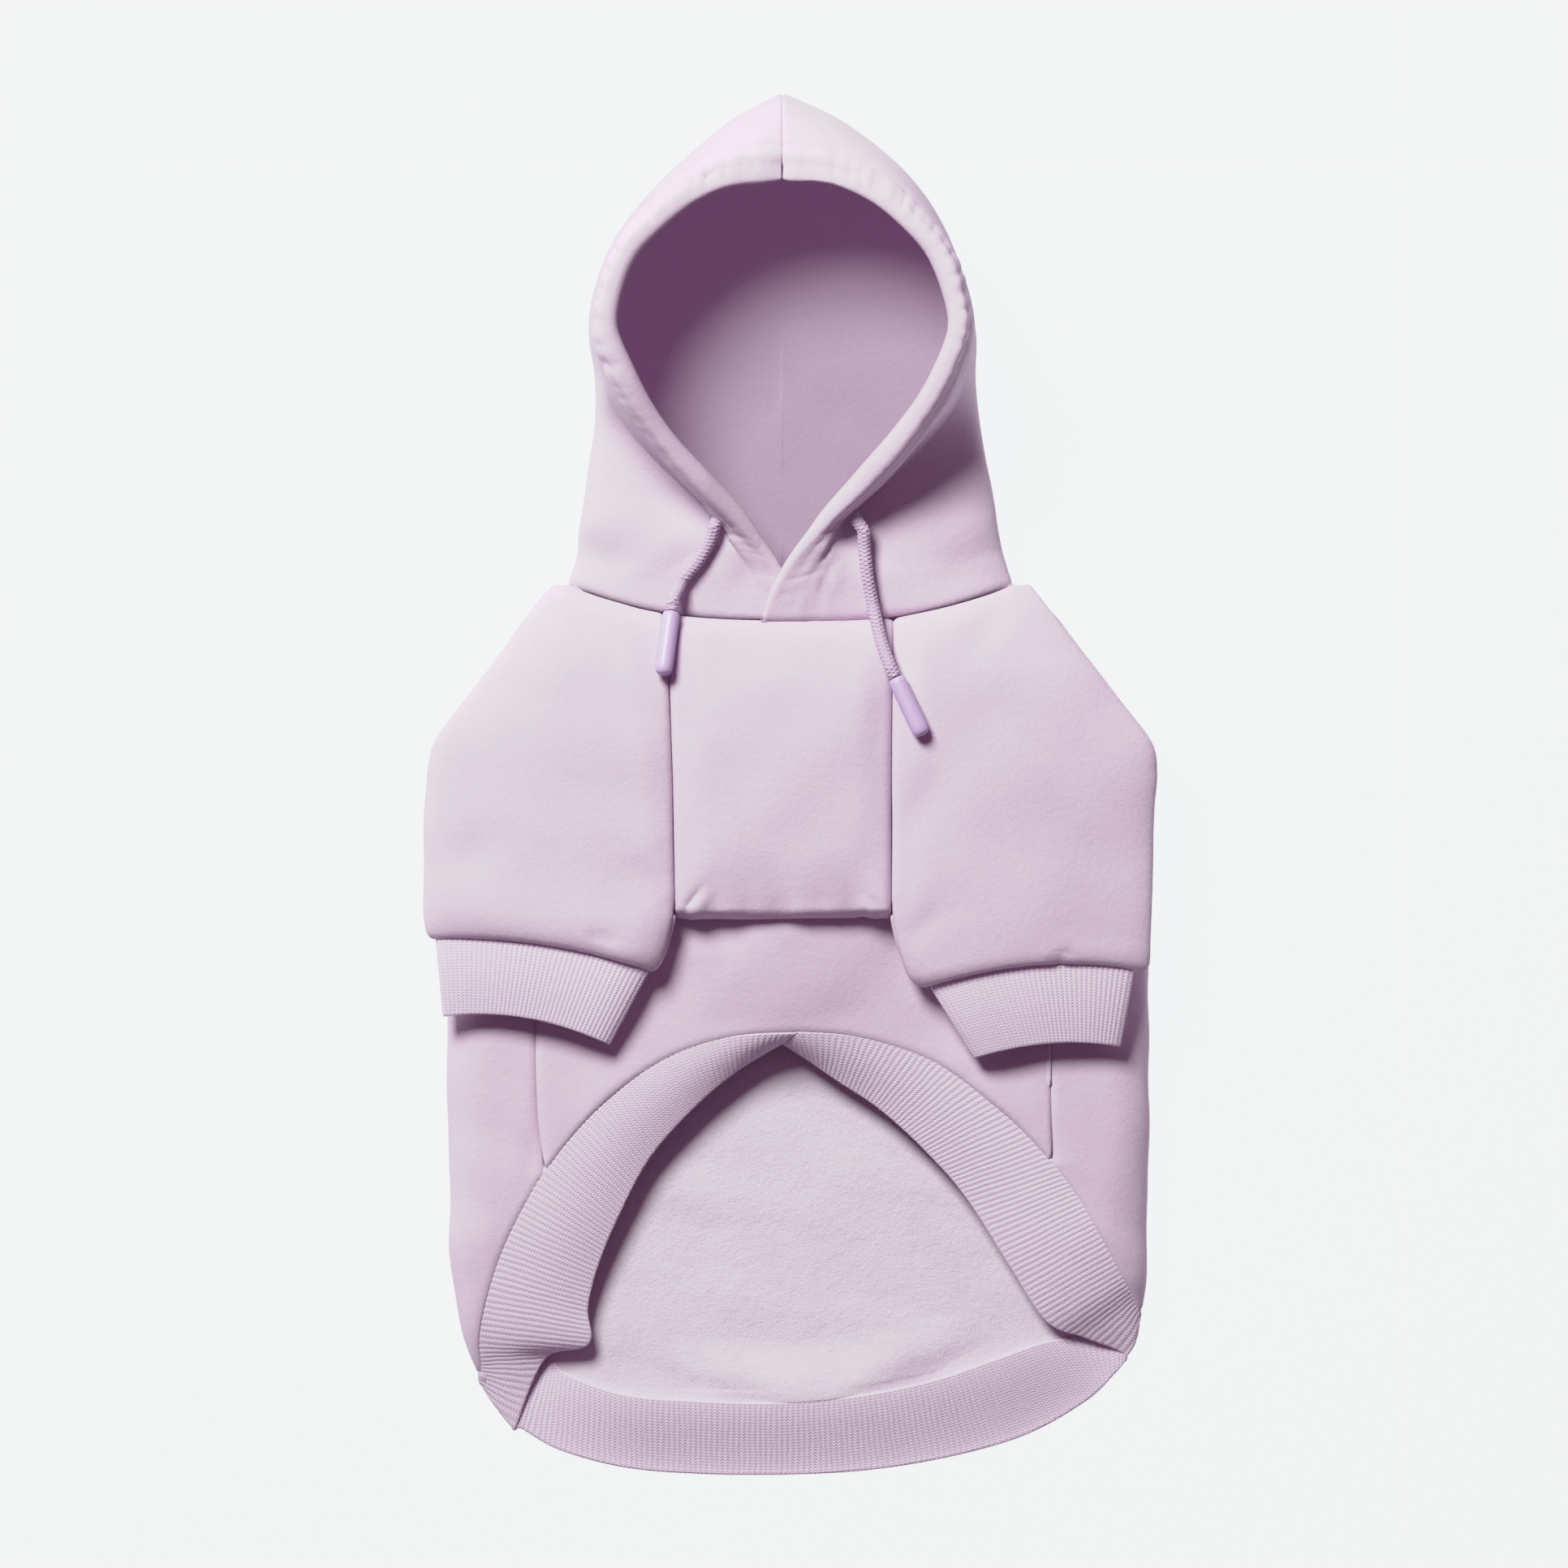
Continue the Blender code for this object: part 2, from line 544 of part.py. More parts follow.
def sleeve_anchors(side, at):
    """The named points of a sleeve's section, counted in rows of SLEEVES."""
    row = spline(SLEEVES[side], at)
    closed = at <= 3.0
    crest = NECK_HEIGHT + (TORSO_HEIGHT - NECK_HEIGHT) * row[6] - CLOTH / 2
    seam = np.array((side * row[0] * CHEST_WIDTH / 2, -row[1] * BODY_LENGTH, crest))
    shoulder = NECK_WIDTH / 2 + SHOULDER_STEP
    widest = BODY_WIDTH / 2 + SLEEVE_OVERHANG
    out = np.array((side * (shoulder + (widest - shoulder) * row[2]), -row[3] * BODY_LENGTH, crest))
    bed = CLOTH + LAYER_GAP
    out_bed = body_level(1.0, out[1]) + bed
    seam_bed = body_level(seam[0], seam[1]) + bed
    flat_seam = crest - SEAM_VALLEY * min(1.0, row[6])
    seam[2] = flat_seam + ((crest + seam_bed) / 2 - flat_seam) * row[7]
    out[2] = (crest + out_bed) / 2
    if closed:
        edge = seam.copy()
    else:
        edge = np.array((side * row[4] * BODY_WIDTH / 2, -row[5] * BODY_LENGTH, 0.0))
        edge[2] = body_level(edge[0], edge[1]) + bed
    return {
        "seam": seam,
        "out": out,
        "edge": edge,
        "crest": crest,
        "out_bed": out_bed,
        "seam_bed": seam_bed,
        "fold": row[7],
        "bow": row[8] * BODY_LENGTH,
        "closed": closed,
        "neck": max(0.0, 1 - (len(SLEEVES[side]) - 1 - at) / 2.0),
    }


def sleeve_section(side, at):
    """A row of a sleeve: from its front seam over the top, round the outer fold and under to the armhole."""
    if 3.0 < at < 4.0:
        closed, opened = sleeve_section(side, 3.0), sleeve_section(side, 4.0)
        return [one + (other - one) * (at - 3.0) for one, other in zip(closed, opened)]
    a = sleeve_anchors(side, at)
    seam, out, crest = a["seam"], a["out"], a["crest"]
    top = at_height(toward(seam, out, SEAM_PUFF), crest)
    bed = at_height(toward(out, seam if a["closed"] else a["edge"], SLEEVE_TURN), a["out_bed"])
    points = [seam]
    for share in (0.5, 1.0):
        round_fold = 1 - math.cos(math.pi / 2 * share)
        along = share + (round_fold - share) * a["fold"]
        points.append(seam + (top - seam) * np.array((along, along, math.sin(math.pi / 2 * share))))
    points += level_to_plumb(top, out, 6, 2.3)
    points += plumb_to_level(out, bed, 3)
    if a["closed"]:
        inner = at_height(toward(seam, out, SLEEVE_TURN * 0.8), a["seam_bed"])
        points += straight(bed, inner, 3)
        points += level_to_plumb(inner, seam, 2)
    else:
        points += straight(bed, a["edge"], 3)
        points += [a["edge"], a["edge"]]
    return bend_row(points, a)


def bend_row(points, a):
    """Bows a sleeve's row towards the hood, and lays its upper half along the neckline at the top."""
    bent = []
    seam, out = a["seam"], a["out"]
    for i, point in enumerate(points):
        point = np.array(point, float)
        across = (point[0] - seam[0]) / (out[0] - seam[0])
        across = min(max(across, 0.0), 1.0)
        point[1] += a["bow"] * 4 * across * (1 - across)
        if a["neck"] > 0 and i <= 8:
            line = seam[1] + (out[1] - seam[1]) * across
            drop = neckline_y(point[0]) - NECK_GAP / 2
            point[1] += a["neck"] ** 2 * (drop - line)
        bent.append(point)
    return bent


def sleeve(side, name):
    last = len(SLEEVES[side]) - 1
    places = [*np.linspace(0, 3, 6), *np.linspace(4, last, SLEEVE_ROWS - 6)]
    rows = [sleeve_section(side, at) for at in places]
    for row, at in zip(rows, places):
        row[0] = row[0] + np.array((side * SEAM_GAP / 2, 0, 0))
        if at <= 3.0:
            row[-1] = row[0]
    return cloth_piece(name, rows, CLOTH, "fleece")


def chest_places():
    """Rows of the chest panel, from its lower edge up to the neckline, counted in rows of SLEEVES."""
    last = len(SLEEVES[LEFT]) - 1
    lower = 3.0
    ledge = [lower + 1.0 * share for share in (0.0, 0.02, 0.12, 0.3, 0.55)]
    return [*ledge, 4.4, 5.5, 7.0, 8.5, 9.8, 10.8, 11.5, float(last)]


def chest_panel():
    """The front between the sleeves. Its lower edge rolls over and stands on the belly."""
    rows = []
    columns = 12
    lowest = -chest_bottom()
    for at in chest_places():
        left, right = sleeve_anchors(LEFT, at), sleeve_anchors(RIGHT, at)
        start, end = left["seam"], right["seam"]
        crest = left["crest"]
        row = []
        for c in range(columns + 1):
            share = c / columns
            point = start + (end - start) * share
            if c == 0:
                point[0] += SEAM_GAP / 2
            if c == columns:
                point[0] -= SEAM_GAP / 2
            valley = crest - SEAM_VALLEY * (1 - left["neck"])
            edge = min(share, 1 - share) * abs(end[0] - start[0])
            puff = math.sin(math.pi / 2 * min(1.0, edge / SEAM_PUFF))
            point[2] = valley + (crest - valley) * puff
            weight = left["neck"] ** 2
            point[1] += weight * (neckline_y(point[0]) - NECK_GAP / 2 - point[1])
            over = max(0.0, (lowest + CHEST_LEDGE - point[1]) / CHEST_LEDGE)
            foot = body_level(point[0], lowest) + CLOTH / 2 + LAYER_GAP
            point[2] -= (point[2] - foot) * (1 - math.sqrt(max(0.0, 1 - min(over, 1.0) ** 2)))
            row.append(point)
        rows.append(row)
    return cloth_piece("chest_panel", rows, CLOTH, "fleece")


def shrunk(loop, distance, tilt):
    """A closed, flattened section made smaller by this distance all round. Its bed rises by tilt along X."""
    loop = np.array(loop)
    bed = loop[:, 0] * tilt
    loop[:, 2] -= bed
    for axis in (0, 2):
        low, high = loop[:, axis].min(), loop[:, axis].max()
        loop[:, axis] = low + distance + (loop[:, axis] - low) * (high - low - 2 * distance) / (high - low)
    loop[:, 2] += bed
    return loop


def cuff(side, name):
    """A ribbed cuff: a flattened tube that starts inside the sleeve's end."""
    inset = CLOTH / 2 + 2.6 * LAYER_GAP + RIB_CLOTH / 2
    a = sleeve_anchors(side, 0.0)
    tilt = (a["seam_bed"] - a["out_bed"]) / (a["seam"][0] - a["out"][0])
    seam_loop = shrunk(sleeve_section(side, 0.0)[:-1], inset, tilt)
    inner, outer = seam_loop[0], seam_loop[8]
    inner_in, inner_down, outer_in, outer_down = (share * CUFF_LENGTH for share in CUFF_ENDS[side])
    free_inner = inner + np.array((side * inner_in, -inner_down, 0.0))
    free_outer = outer + np.array((-side * outer_in, -outer_down, 0.0))
    rest = LAYER_GAP + RIB_CLOTH / 2 + CLOTH / 2
    low, high = seam_loop[:, 2].min(), seam_loop[:, 2].max()
    free_loop = []
    for point in seam_loop:
        across = (point[0] - inner[0]) / (outer[0] - inner[0])
        up = (point[2] - low) / (high - low)
        straight_y = inner[1] + (outer[1] - inner[1]) * across
        place = free_inner + (free_outer - free_inner) * across
        place[1] += 0.6 * (point[1] - straight_y)
        place[2] = body_level(place[0], place[1]) + rest + up * (CUFF_FREE_HEIGHT - RIB_CLOTH)
        free_loop.append(place)
    free_loop = np.array(free_loop)
    rows = []
    for share in np.linspace(-CUFF_TUCK / CUFF_LENGTH, 1.0, CUFF_ROWS + 1):
        loop = seam_loop + (free_loop - seam_loop) * max(0.0, share)
        if share < 0:
            loop[:, 1] -= share * CUFF_LENGTH
        rows.append([*loop, loop[0]])
    return cloth_piece(name, rows, RIB_CLOTH, "rib_knit")


# Hood


def pucker(at):
    """The small gathers of the cloth along the casing."""
    wave = math.sin(9.0 * at) + 0.7 * math.sin(14.3 * at + 1.1)
    return PUCKER_DEPTH * wave * min(1.0, max(0.0, at - 2.0))


def hood_section(side, at):
    """A row of a hood panel: from the facing's edge round the casing, down the wall and under to the middle."""
    row = spline(HOOD, at)
    middle = HOOD_LEAN
    half = HOOD_WIDTH / 2
    rim = np.array((middle + side * row[0] * half, row[1] * HOOD_LENGTH, row[2] * HOOD_HEIGHT))
    if at == 0.0:
        rim[2] = NECK_HEIGHT - CLOTH / 2
    crossing = min(1.0, max(0.0, (4.0 - at) / 1.6))
    rim[2] += side * crossing * CROSS_LIFT
    out = np.array((middle + side * row[3] * half, row[4] * HOOD_LENGTH, 0.0))
    neck = max(0.0, 1 - at / 3.0)
    out[0] += neck * (side * NECK_WIDTH / 2 - (middle + side * HOOD[0][3] * half)) + row[9] * half
    roll = CASING_RADIUS * row[6]
    rim[2] += pucker(at)
    level = NECK_HEIGHT * row[7] - CLOTH / 2
    out[2] = CLOTH / 2 + 0.48 * level
    back_y = row[5] * HOOD_LENGTH
    centre = np.array((middle + side * SEAM_GAP / 2, back_y, CLOTH / 2))
    bed = at_height(toward(out, centre, HOOD_TURN), CLOTH / 2)
    along = rim_direction(side, at)
    outward = np.array((-along[1], along[0], 0.0)) * -side
    outward /= max(float(np.linalg.norm(outward)), 1e-9)
    away = np.array((out[0] - rim[0], out[1] - rim[1], 0.0))
    away /= max(float(np.linalg.norm(away)), 1e-9)

    # The casing: the wall's cloth rolls over the cord and comes back down inside the wall.
    wall = hood_wall(rim, out, level, row[8], away)
    clear = CLOTH + FACING_GAP
    collar = float(np.linalg.norm(wall[1] - rim) + np.linalg.norm(wall[3] - wall[1]))
    limit = collar + (1 - row[8]) * HOOD_HEIGHT / 2 - clear / 2
    turned = min(2 * roll + clear / 2, 0.7 * limit)
    foot = wall_inside(wall, rim, turned, clear, along, outward)
    tail = wall_inside(wall, rim, min(turned + FACING_LENGTH * row[6] ** 2, limit), clear, along, outward)
    facing = [tail, (tail + foot) / 2]
    reach_in, reach_up = outward * roll * 1.7, np.array((0.0, 0.0, roll * 0.5))
    pull_top, pull_foot = rim - outward * roll * 2.1, foot - reach_in + reach_up
    for t in (1.0, 0.75, 0.5, 0.25):
        start, end = (1 - t) ** 3 * rim, t**3 * foot
        facing.append(start + 3 * (1 - t) ** 2 * t * pull_top + 3 * (1 - t) * t**2 * pull_foot + end)
    points = [*facing, rim, *wall]
    points += plumb_to_level(out, bed, 3)
    points += straight(bed, centre, 2)
    if at == 0.0:
        points = [lay_on_neckline(point, side, i > len(facing) + len(wall)) for i, point in enumerate(points)]
    return points


def hood_wall(rim, out, level, skirt, outward):
    """The cloth from the rim down to the silhouette, either one round wall or a steep collar on a flatter slope."""
    count = 8
    square = NECK_SQUARENESS if skirt > 0.5 else CROWN_SQUARENESS
    direct = level_to_plumb(rim, out, count, CROWN_SQUARENESS + 0.6 * skirt)
    span = float(np.linalg.norm((out - rim)[:2]))
    foot = rim + outward * min(SKIRT_REACH, 0.6 * span)
    foot[2] = min(level, rim[2])
    knee = rim + outward * min(SKIRT_REACH, 0.6 * span) * 0.45
    knee[2] = (rim[2] + foot[2]) / 2
    collar = [*level_to_plumb(rim, knee, 2), *plumb_to_level(knee, foot, 2), *level_to_plumb(foot, out, 4, square)]
    return [d + (c - d) * skirt for d, c in zip(direct, collar)]


def rim_direction(side, at):
    """Which way the rim runs at a place, towards the crown."""
    before, after = spline(HOOD, at - 0.2), spline(HOOD, at + 0.2)
    run = after - before
    way = np.array((side * run[0] * HOOD_WIDTH / 2, run[1] * HOOD_LENGTH, run[2] * HOOD_HEIGHT))
    if at > len(HOOD) - 1.2:
        way[1:] = 0.0
    return way / np.linalg.norm(way)


def wall_inside(wall, rim, distance, clear, along, outward):
    """The place this far down the wall from the rim, moved off the wall's middle to its inner side."""
    run, before = 0.0, np.asarray(rim, float)
    for point in wall:
        step = float(np.linalg.norm(point - before))
        if run + step >= distance:
            way = (point - before) / step
            normal = np.cross(along, way)
            normal /= np.linalg.norm(normal)
            inside = -outward * abs(way[2]) - np.array((0, 0, 1.0)) * math.hypot(way[0], way[1])
            return before + way * (distance - run) + normal * math.copysign(clear, float(np.dot(normal, inside)))
        run, before = run + step, point
    return before - np.array((0, 0, clear))


def lay_on_neckline(point, side, below):
    """Puts the hood's lowest row on the neckline, above the body's edge by the seam's gap."""
    point = np.array(point, float)
    point[1] = NECK_GAP / 2 if below else neckline_y(point[0]) + NECK_GAP / 2
    return point


def hood(side, name):
    places = np.linspace(0, len(HOOD) - 1, HOOD_ROWS)
    rows = [hood_section(side, at) for at in places]
    for point in rows[-1]:
        point[0] = HOOD_LEAN + side * SEAM_GAP / 2
    return cloth_piece(name, rows, CLOTH, "fleece")


# Drawcord


def cloth_trees(pieces):
    """The walls of these pieces, for finding what a cord lies on."""
    depsgraph = bpy.context.evaluated_depsgraph_get()
    trees = []
    for piece in pieces:
        mesh = piece.evaluated_get(depsgraph).to_mesh()
        points = [tuple(vertex.co) for vertex in mesh.vertices]
        trees.append(BVHTree.FromPolygons(points, [tuple(face.vertices) for face in mesh.polygons]))
    return trees


def rest_height(trees, x, y, radius):
    """The height at which something round of this radius lies on the cloth."""
    highest = 0.0
    for share in (0.0, 0.35, 0.7, 0.95):
        for turn in range(8 if share else 1):
            angle = math.pi / 4 * turn
            over = (x + share * radius * math.cos(angle), y + share * radius * math.sin(angle), 0.2)
            for tree in trees:
                hit = tree.ray_cast(over, (0, 0, -1))[0]
                if hit is not None:
                    highest = max(highest, hit[2] + radius * math.sqrt(1 - share**2))
    return highest + TIP_GAP


def cord_route(side, trees):
    """The centreline of a free end of the drawcord, lying on the cloth."""
    route = []
    places = np.linspace(0, len(CORDS[side]) - 1, CORD_STEPS)
    for at in places:
        heights = []
        for near in (at - places[1] / 2, at, at + places[1] / 2):
            across, down, rise = spline(CORDS[side], near)
            x, y = across * CHEST_WIDTH / 2, -down * NECK_WIDTH / 2
            heights.append(rest_height(trees, x, y, CORD_DIAMETER / 2) + rise * NECK_WIDTH / 2)
        across, down = spline(CORDS[side], at)[:2]
        route.append([across * CHEST_WIDTH / 2, -down * NECK_WIDTH / 2, max(heights)])
    heights = [point[2] for point in route]
    for i in range(1, len(route) - 1):
        route[i][2] = max(heights[i], (heights[i - 1] + heights[i + 1]) / 2)
    return np.array(route)


def drawcord(name, route):
    curve = bpy.data.curves.new(name, "CURVE")
    curve.dimensions = "3D"
    curve.bevel_depth = CORD_DIAMETER / 2
    curve.bevel_resolution = CORD_SIDES_RESOLUTION
    curve.use_fill_caps = True
    line = curve.splines.new("POLY")
    line.points.add(len(route) - 1)
    for spot, point in zip(line.points, route):
        spot.co = (*map(float, point), 1.0)
    line.use_smooth = True
    curve.materials.append(material("cord_braid"))
    return bpy.data.objects.new(name, curve)


def cord_tip(name, start, end):
    """A smooth dipped end, a round bar with a domed foot."""
    profile = ((0.0, 0.0), (0.0, 0.55), (0.03, 0.85), (0.07, 1.0), (0.88, 1.0), (0.95, 0.86), (0.99, 0.50), (1.0, 0.0))
    way = (end - start) / np.linalg.norm(end - start)
    level = np.array((-way[1], way[0], 0.0))
    level /= np.linalg.norm(level)
    up = np.cross(way, level)
    points, faces = [], []
    for along, width in profile:
        for k in range(TIP_SIDES):
            angle = 2 * math.pi * k / TIP_SIDES
            ring = (level * math.cos(angle) + up * math.sin(angle)) * width * TIP_DIAMETER / 2
            points.append(tuple(map(float, start + (end - start) * along + ring)))
    for r in range(len(profile) - 1):
        for k in range(TIP_SIDES):
            a, b = r * TIP_SIDES + k, r * TIP_SIDES + (k + 1) % TIP_SIDES
            faces.append((a, b, b + TIP_SIDES, a + TIP_SIDES))
    mesh = bpy.data.meshes.new(name)
    mesh.from_pydata(points, [], faces)
    bar = bmesh.new()
    bar.from_mesh(mesh)
    bmesh.ops.remove_doubles(bar, verts=bar.verts, dist=MERGE)
    bmesh.ops.recalc_face_normals(bar, faces=bar.faces)
    bar.to_mesh(mesh)
    bar.free()
    mesh.materials.append(material("dipped_tip"))
    mesh.shade_smooth()
    return bpy.data.objects.new(name, mesh)


def cord_end(side, name, trees):
    """A free end of the drawcord and its tip, laid on the cloth one after the other."""
    route = cord_route(side, trees)
    across, down = TIP_ENDS[side]
    last = route[-1]
    foot = np.array((across * CHEST_WIDTH / 2, -down * NECK_WIDTH / 2, 0.0))
    way = toward(at_height(last, 0.0), foot, 1.0) - at_height(last, 0.0)
    length = float(np.linalg.norm(way))
    start = last + way / length * (TIP_GAP * 2.5)
    middles = [start + way / length * TIP_LENGTH * share for share in (0.0, 0.25, 0.5, 0.75, 1.0)]
    heights = [rest_height(trees, point[0], point[1], TIP_DIAMETER / 2) for point in middles]
    slope, base = np.polyfit((0.0, 0.25, 0.5, 0.75, 1.0), heights, 1)
    base += max(height - (base + slope * share) for height, share in zip(heights, (0.0, 0.25, 0.5, 0.75, 1.0)))
    start[2] = base
    end = middles[-1].copy()
    end[2] = base + slope
    axis = (end - start) / np.linalg.norm(end - start)
    last = start - axis * TIP_GAP * 1.5
    lying = [point for point in route if np.linalg.norm(point - start) > CORD_EASE * CORD_DIAMETER]
    knots = [*lying, last - axis * CORD_DIAMETER, last - axis * CORD_DIAMETER / 2, last]
    route = [spline(knots, at) for at in np.linspace(0, len(knots) - 2, CORD_STEPS - 1)]
    route.append(last)
    return [drawcord("drawcord_" + name, route), cord_tip("cord_tip_" + name, start, end)]


def plan_middle(pieces):
    """The middle of the plan of these pieces, which becomes the part's origin."""
    depsgraph = bpy.context.evaluated_depsgraph_get()
    corners = np.array([corner[:] for piece in pieces for corner in piece.evaluated_get(depsgraph).bound_box])
    return (corners.min(axis=0) + corners.max(axis=0)) / 2


def clear_scene():
    for obj in list(bpy.data.objects):
        bpy.data.objects.remove(obj)


def main():
    clear_scene()
    group = bpy.data.collections.new("dog_hoodie")
    bpy.context.scene.collection.children.link(group)
    pieces = [
        back_panel(),
        belly_panel(),
        hem_band(),
        chest_panel(),
        sleeve(LEFT, "sleeve_left"),
        sleeve(RIGHT, "sleeve_right"),
        cuff(LEFT, "cuff_left"),
        cuff(RIGHT, "cuff_right"),
        hood(LEFT, "hood_left"),
        hood(RIGHT, "hood_right"),
    ]
    origin = bpy.data.objects.new("origin", None)
    group.objects.link(origin)
    for piece in pieces:
        group.objects.link(piece)
    bpy.context.view_layer.update()
    middle = plan_middle(pieces)
    trees = cloth_trees(pieces)
    for side, name in ((LEFT, "left"), (RIGHT, "right")):
        for piece in cord_end(side, name, trees):
            group.objects.link(piece)
            pieces.append(piece)
    for piece in pieces:
        piece.parent = origin
    origin.location = (-middle[0], -middle[1], 0.0)


main()
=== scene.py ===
"""The looks of a dog's pullover hoodie of lavender fleece, laid flat on its back with its hood standing open.

+Z is up, +Y runs from the hem to the hood, and every length is in metres. The surfaces are those of the
part's solids, drawn finer and with the relief of real cloth: turned seams, gathers, creases, ribs and braid.
While a surface is worked out, y = 0 is the shoulder line, where the hood is sewn to the back.
"""

import math

import bmesh
import bpy
import numpy as np
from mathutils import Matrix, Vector

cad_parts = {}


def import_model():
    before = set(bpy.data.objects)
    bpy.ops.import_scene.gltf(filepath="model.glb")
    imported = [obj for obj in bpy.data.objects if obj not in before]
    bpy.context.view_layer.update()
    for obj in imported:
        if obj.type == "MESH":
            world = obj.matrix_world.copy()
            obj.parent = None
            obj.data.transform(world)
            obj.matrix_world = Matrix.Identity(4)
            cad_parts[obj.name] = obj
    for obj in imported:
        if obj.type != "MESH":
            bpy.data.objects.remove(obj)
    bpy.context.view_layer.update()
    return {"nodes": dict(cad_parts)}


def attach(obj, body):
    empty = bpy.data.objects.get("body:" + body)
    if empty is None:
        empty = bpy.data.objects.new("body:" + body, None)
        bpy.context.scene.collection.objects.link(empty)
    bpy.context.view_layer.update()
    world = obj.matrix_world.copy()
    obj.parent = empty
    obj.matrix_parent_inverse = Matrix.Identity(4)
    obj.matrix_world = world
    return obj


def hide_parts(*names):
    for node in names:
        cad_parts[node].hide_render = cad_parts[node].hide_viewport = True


# Where the middle of the shoulder line lies in the frame
SHOULDER_LINE = np.array((0.0, 0.07402, 0.0))

# Cloth
CLOTH = 0.0020
RIB_CLOTH = 0.0022
RIB_WALL = 0.0015
LAYER_GAP = 0.0005
SEAM_GAP = 0.0009
SEAM_TURN = 0.0030
SEAM_DEPTH = 0.0019
SIDE_SEAM_SHARE = 0.8
WAVE_COUNT = 7
WAVE_SIZE = 0.045
WAVE_HEIGHT = 0.00045

# Torso
BODY_WIDTH = 0.258
BODY_LENGTH = 0.3294
BODY_HEIGHT = 0.0190
BODY_TURN = 0.016
FOLD_LEVEL = 0.48
TOP_LEVEL_SHARE = 0.12
TORSO_HEIGHT = 0.0370
CHEST_WIDTH = 0.0810
CHEST_LEDGE = 0.0034
CHEST_SAG = 0.0036
CHEST_SAG_LENGTH = 0.026
CHEST_TUCK = 0.0054
ARMHOLE_WIDTH = 0.0515
ARMHOLE_RISE = 0.0235
NECK_CURVE = 2.7
BELLY_RISE = 0.0085
BELLY_RISE_WIDTH = 0.036
BELLY_RISE_LENGTH = 0.040
SEAM_VALLEY = 0.0022
SEAM_PUFF = 0.014
HEM_TUCK = 0.0011
HEM_SINK = 0.0008
HEM_BOW = 0.0016
HEM_BULGE = 0.0016
HEM_RIDGE = 0.0044
HEM_RIDGE_LENGTH = 0.026
FOLD_EASE = 0.0024

# Neck and hood
NECK_WIDTH = 0.164
NECK_HEIGHT = 0.0265
NECK_DIP = 0.0138
HOOD_WIDTH = 0.141
HOOD_LENGTH = 0.1806
HOOD_HEIGHT = 0.0660
HOOD_LEAN = -0.0030
HOOD_TURN = 0.014
SKIRT_REACH = 0.0085
CASING_RADIUS = 0.0036
FACING_LENGTH = 0.011
FACING_GAP = 0.0008
CROSS_LIFT = 0.0029
GATHER_DEPTH = 0.0012
GATHER_REACH = 0.010
GATHER_START = 0.012
GATHER_PITCH = 0.0052
CASING_WIDTH = 0.0078
CASING_SWELL = 0.0009
CASING_GROOVE = 0.0006
CROWN_PINCH = 0.0009
CROWN_REACH = 0.5
CROWN_GAP = 0.0002

# Sleeves and cuffs
SLEEVE_OVERHANG = 0.0057
SHOULDER_STEP = 0.0032
SLEEVE_TURN = 0.012
CUFF_LENGTH = 0.029
CUFF_TUCK = 0.004
CUFF_FREE_HEIGHT = 0.0098
CUFF_SWELL = 0.0009
CLOSED_INSET = 0.0005

# Ribs and braid
HEM_RIB_PITCH = 0.0020
HEM_RIB_DEPTH = 0.00028
CUFF_RIB_PITCH = 0.0017
CUFF_RIB_DEPTH = 0.00027
RIB_WANDER = 0.00010
RIB_ROUNDNESS = 0.75
RIB_MIDDLE = 0.55
RIB_FADE = 0.0016
RIB_LEAST = 0.25
CORD_DIAMETER = 0.0048
BRAID_PITCH = 0.0030
BRAID_DEPTH = 0.00034
BRAID_MIDDLE = 0.7
TIP_DIAMETER = 0.0066
CORD_SIDES = 24
TIP_SIDES = 40

# How finely the surfaces are drawn: points per step of a section, samples per rib, and samples of the hem
FINE = 5
RIB_SAMPLES = 6
HEM_FINE = 900

# The fine steps along a turned or rounded edge, and how far they reach from it
EDGE_REACH = 0.0042
EDGE_STEPS = (0.0, 0.00008, 0.0003, 0.0007, 0.0012, 0.0018, 0.0025, 0.0033)

LEFT, RIGHT = -1, 1

# Where the back panel folds up at each side, and how high the body stands, from the shoulder line to the hem.
# down is a share of BODY_LENGTH, left and right of half of BODY_WIDTH, and height of BODY_HEIGHT.
BODY_OUTLINE = (
    # down, left, right, height
    (0.000, 0.628, 0.630, 0.62),
    (0.073, 0.730, 0.735, 0.80),
    (0.175, 0.870, 0.874, 0.96),
    (0.255, 0.935, 0.956, 1.00),
    (0.346, 0.967, 1.009, 1.00),
    (0.483, 0.974, 1.019, 1.00),
    (0.610, 0.973, 1.019, 1.00),
    (0.710, 0.971, 1.018, 0.98),
    (0.765, 0.965, 1.013, 0.94),
    (0.820, 0.946, 0.999, 0.88),
    (0.860, 0.917, 0.960, 0.82),
    (0.905, 0.866, 0.880, 0.76),
)

# Where the cloth that wraps up from the back ends on top of the body: at the armhole, then at the belly seam.
# down is a share of BODY_LENGTH, left and right of half of BODY_WIDTH.
BACK_EDGE = (
    # down, left, right
    (0.000, 0.560, 0.556),
    (0.050, 0.626, 0.622),
    (0.114, 0.695, 0.700),
    (0.178, 0.742, 0.752),
    (0.246, 0.748, 0.752),
    (0.310, 0.742, 0.744),
    (0.358, 0.732, 0.740),
    (0.440, 0.730, 0.740),
    (0.528, 0.730, 0.742),
    (0.600, 0.723, 0.745),
    (0.645, 0.708, 0.748),
)

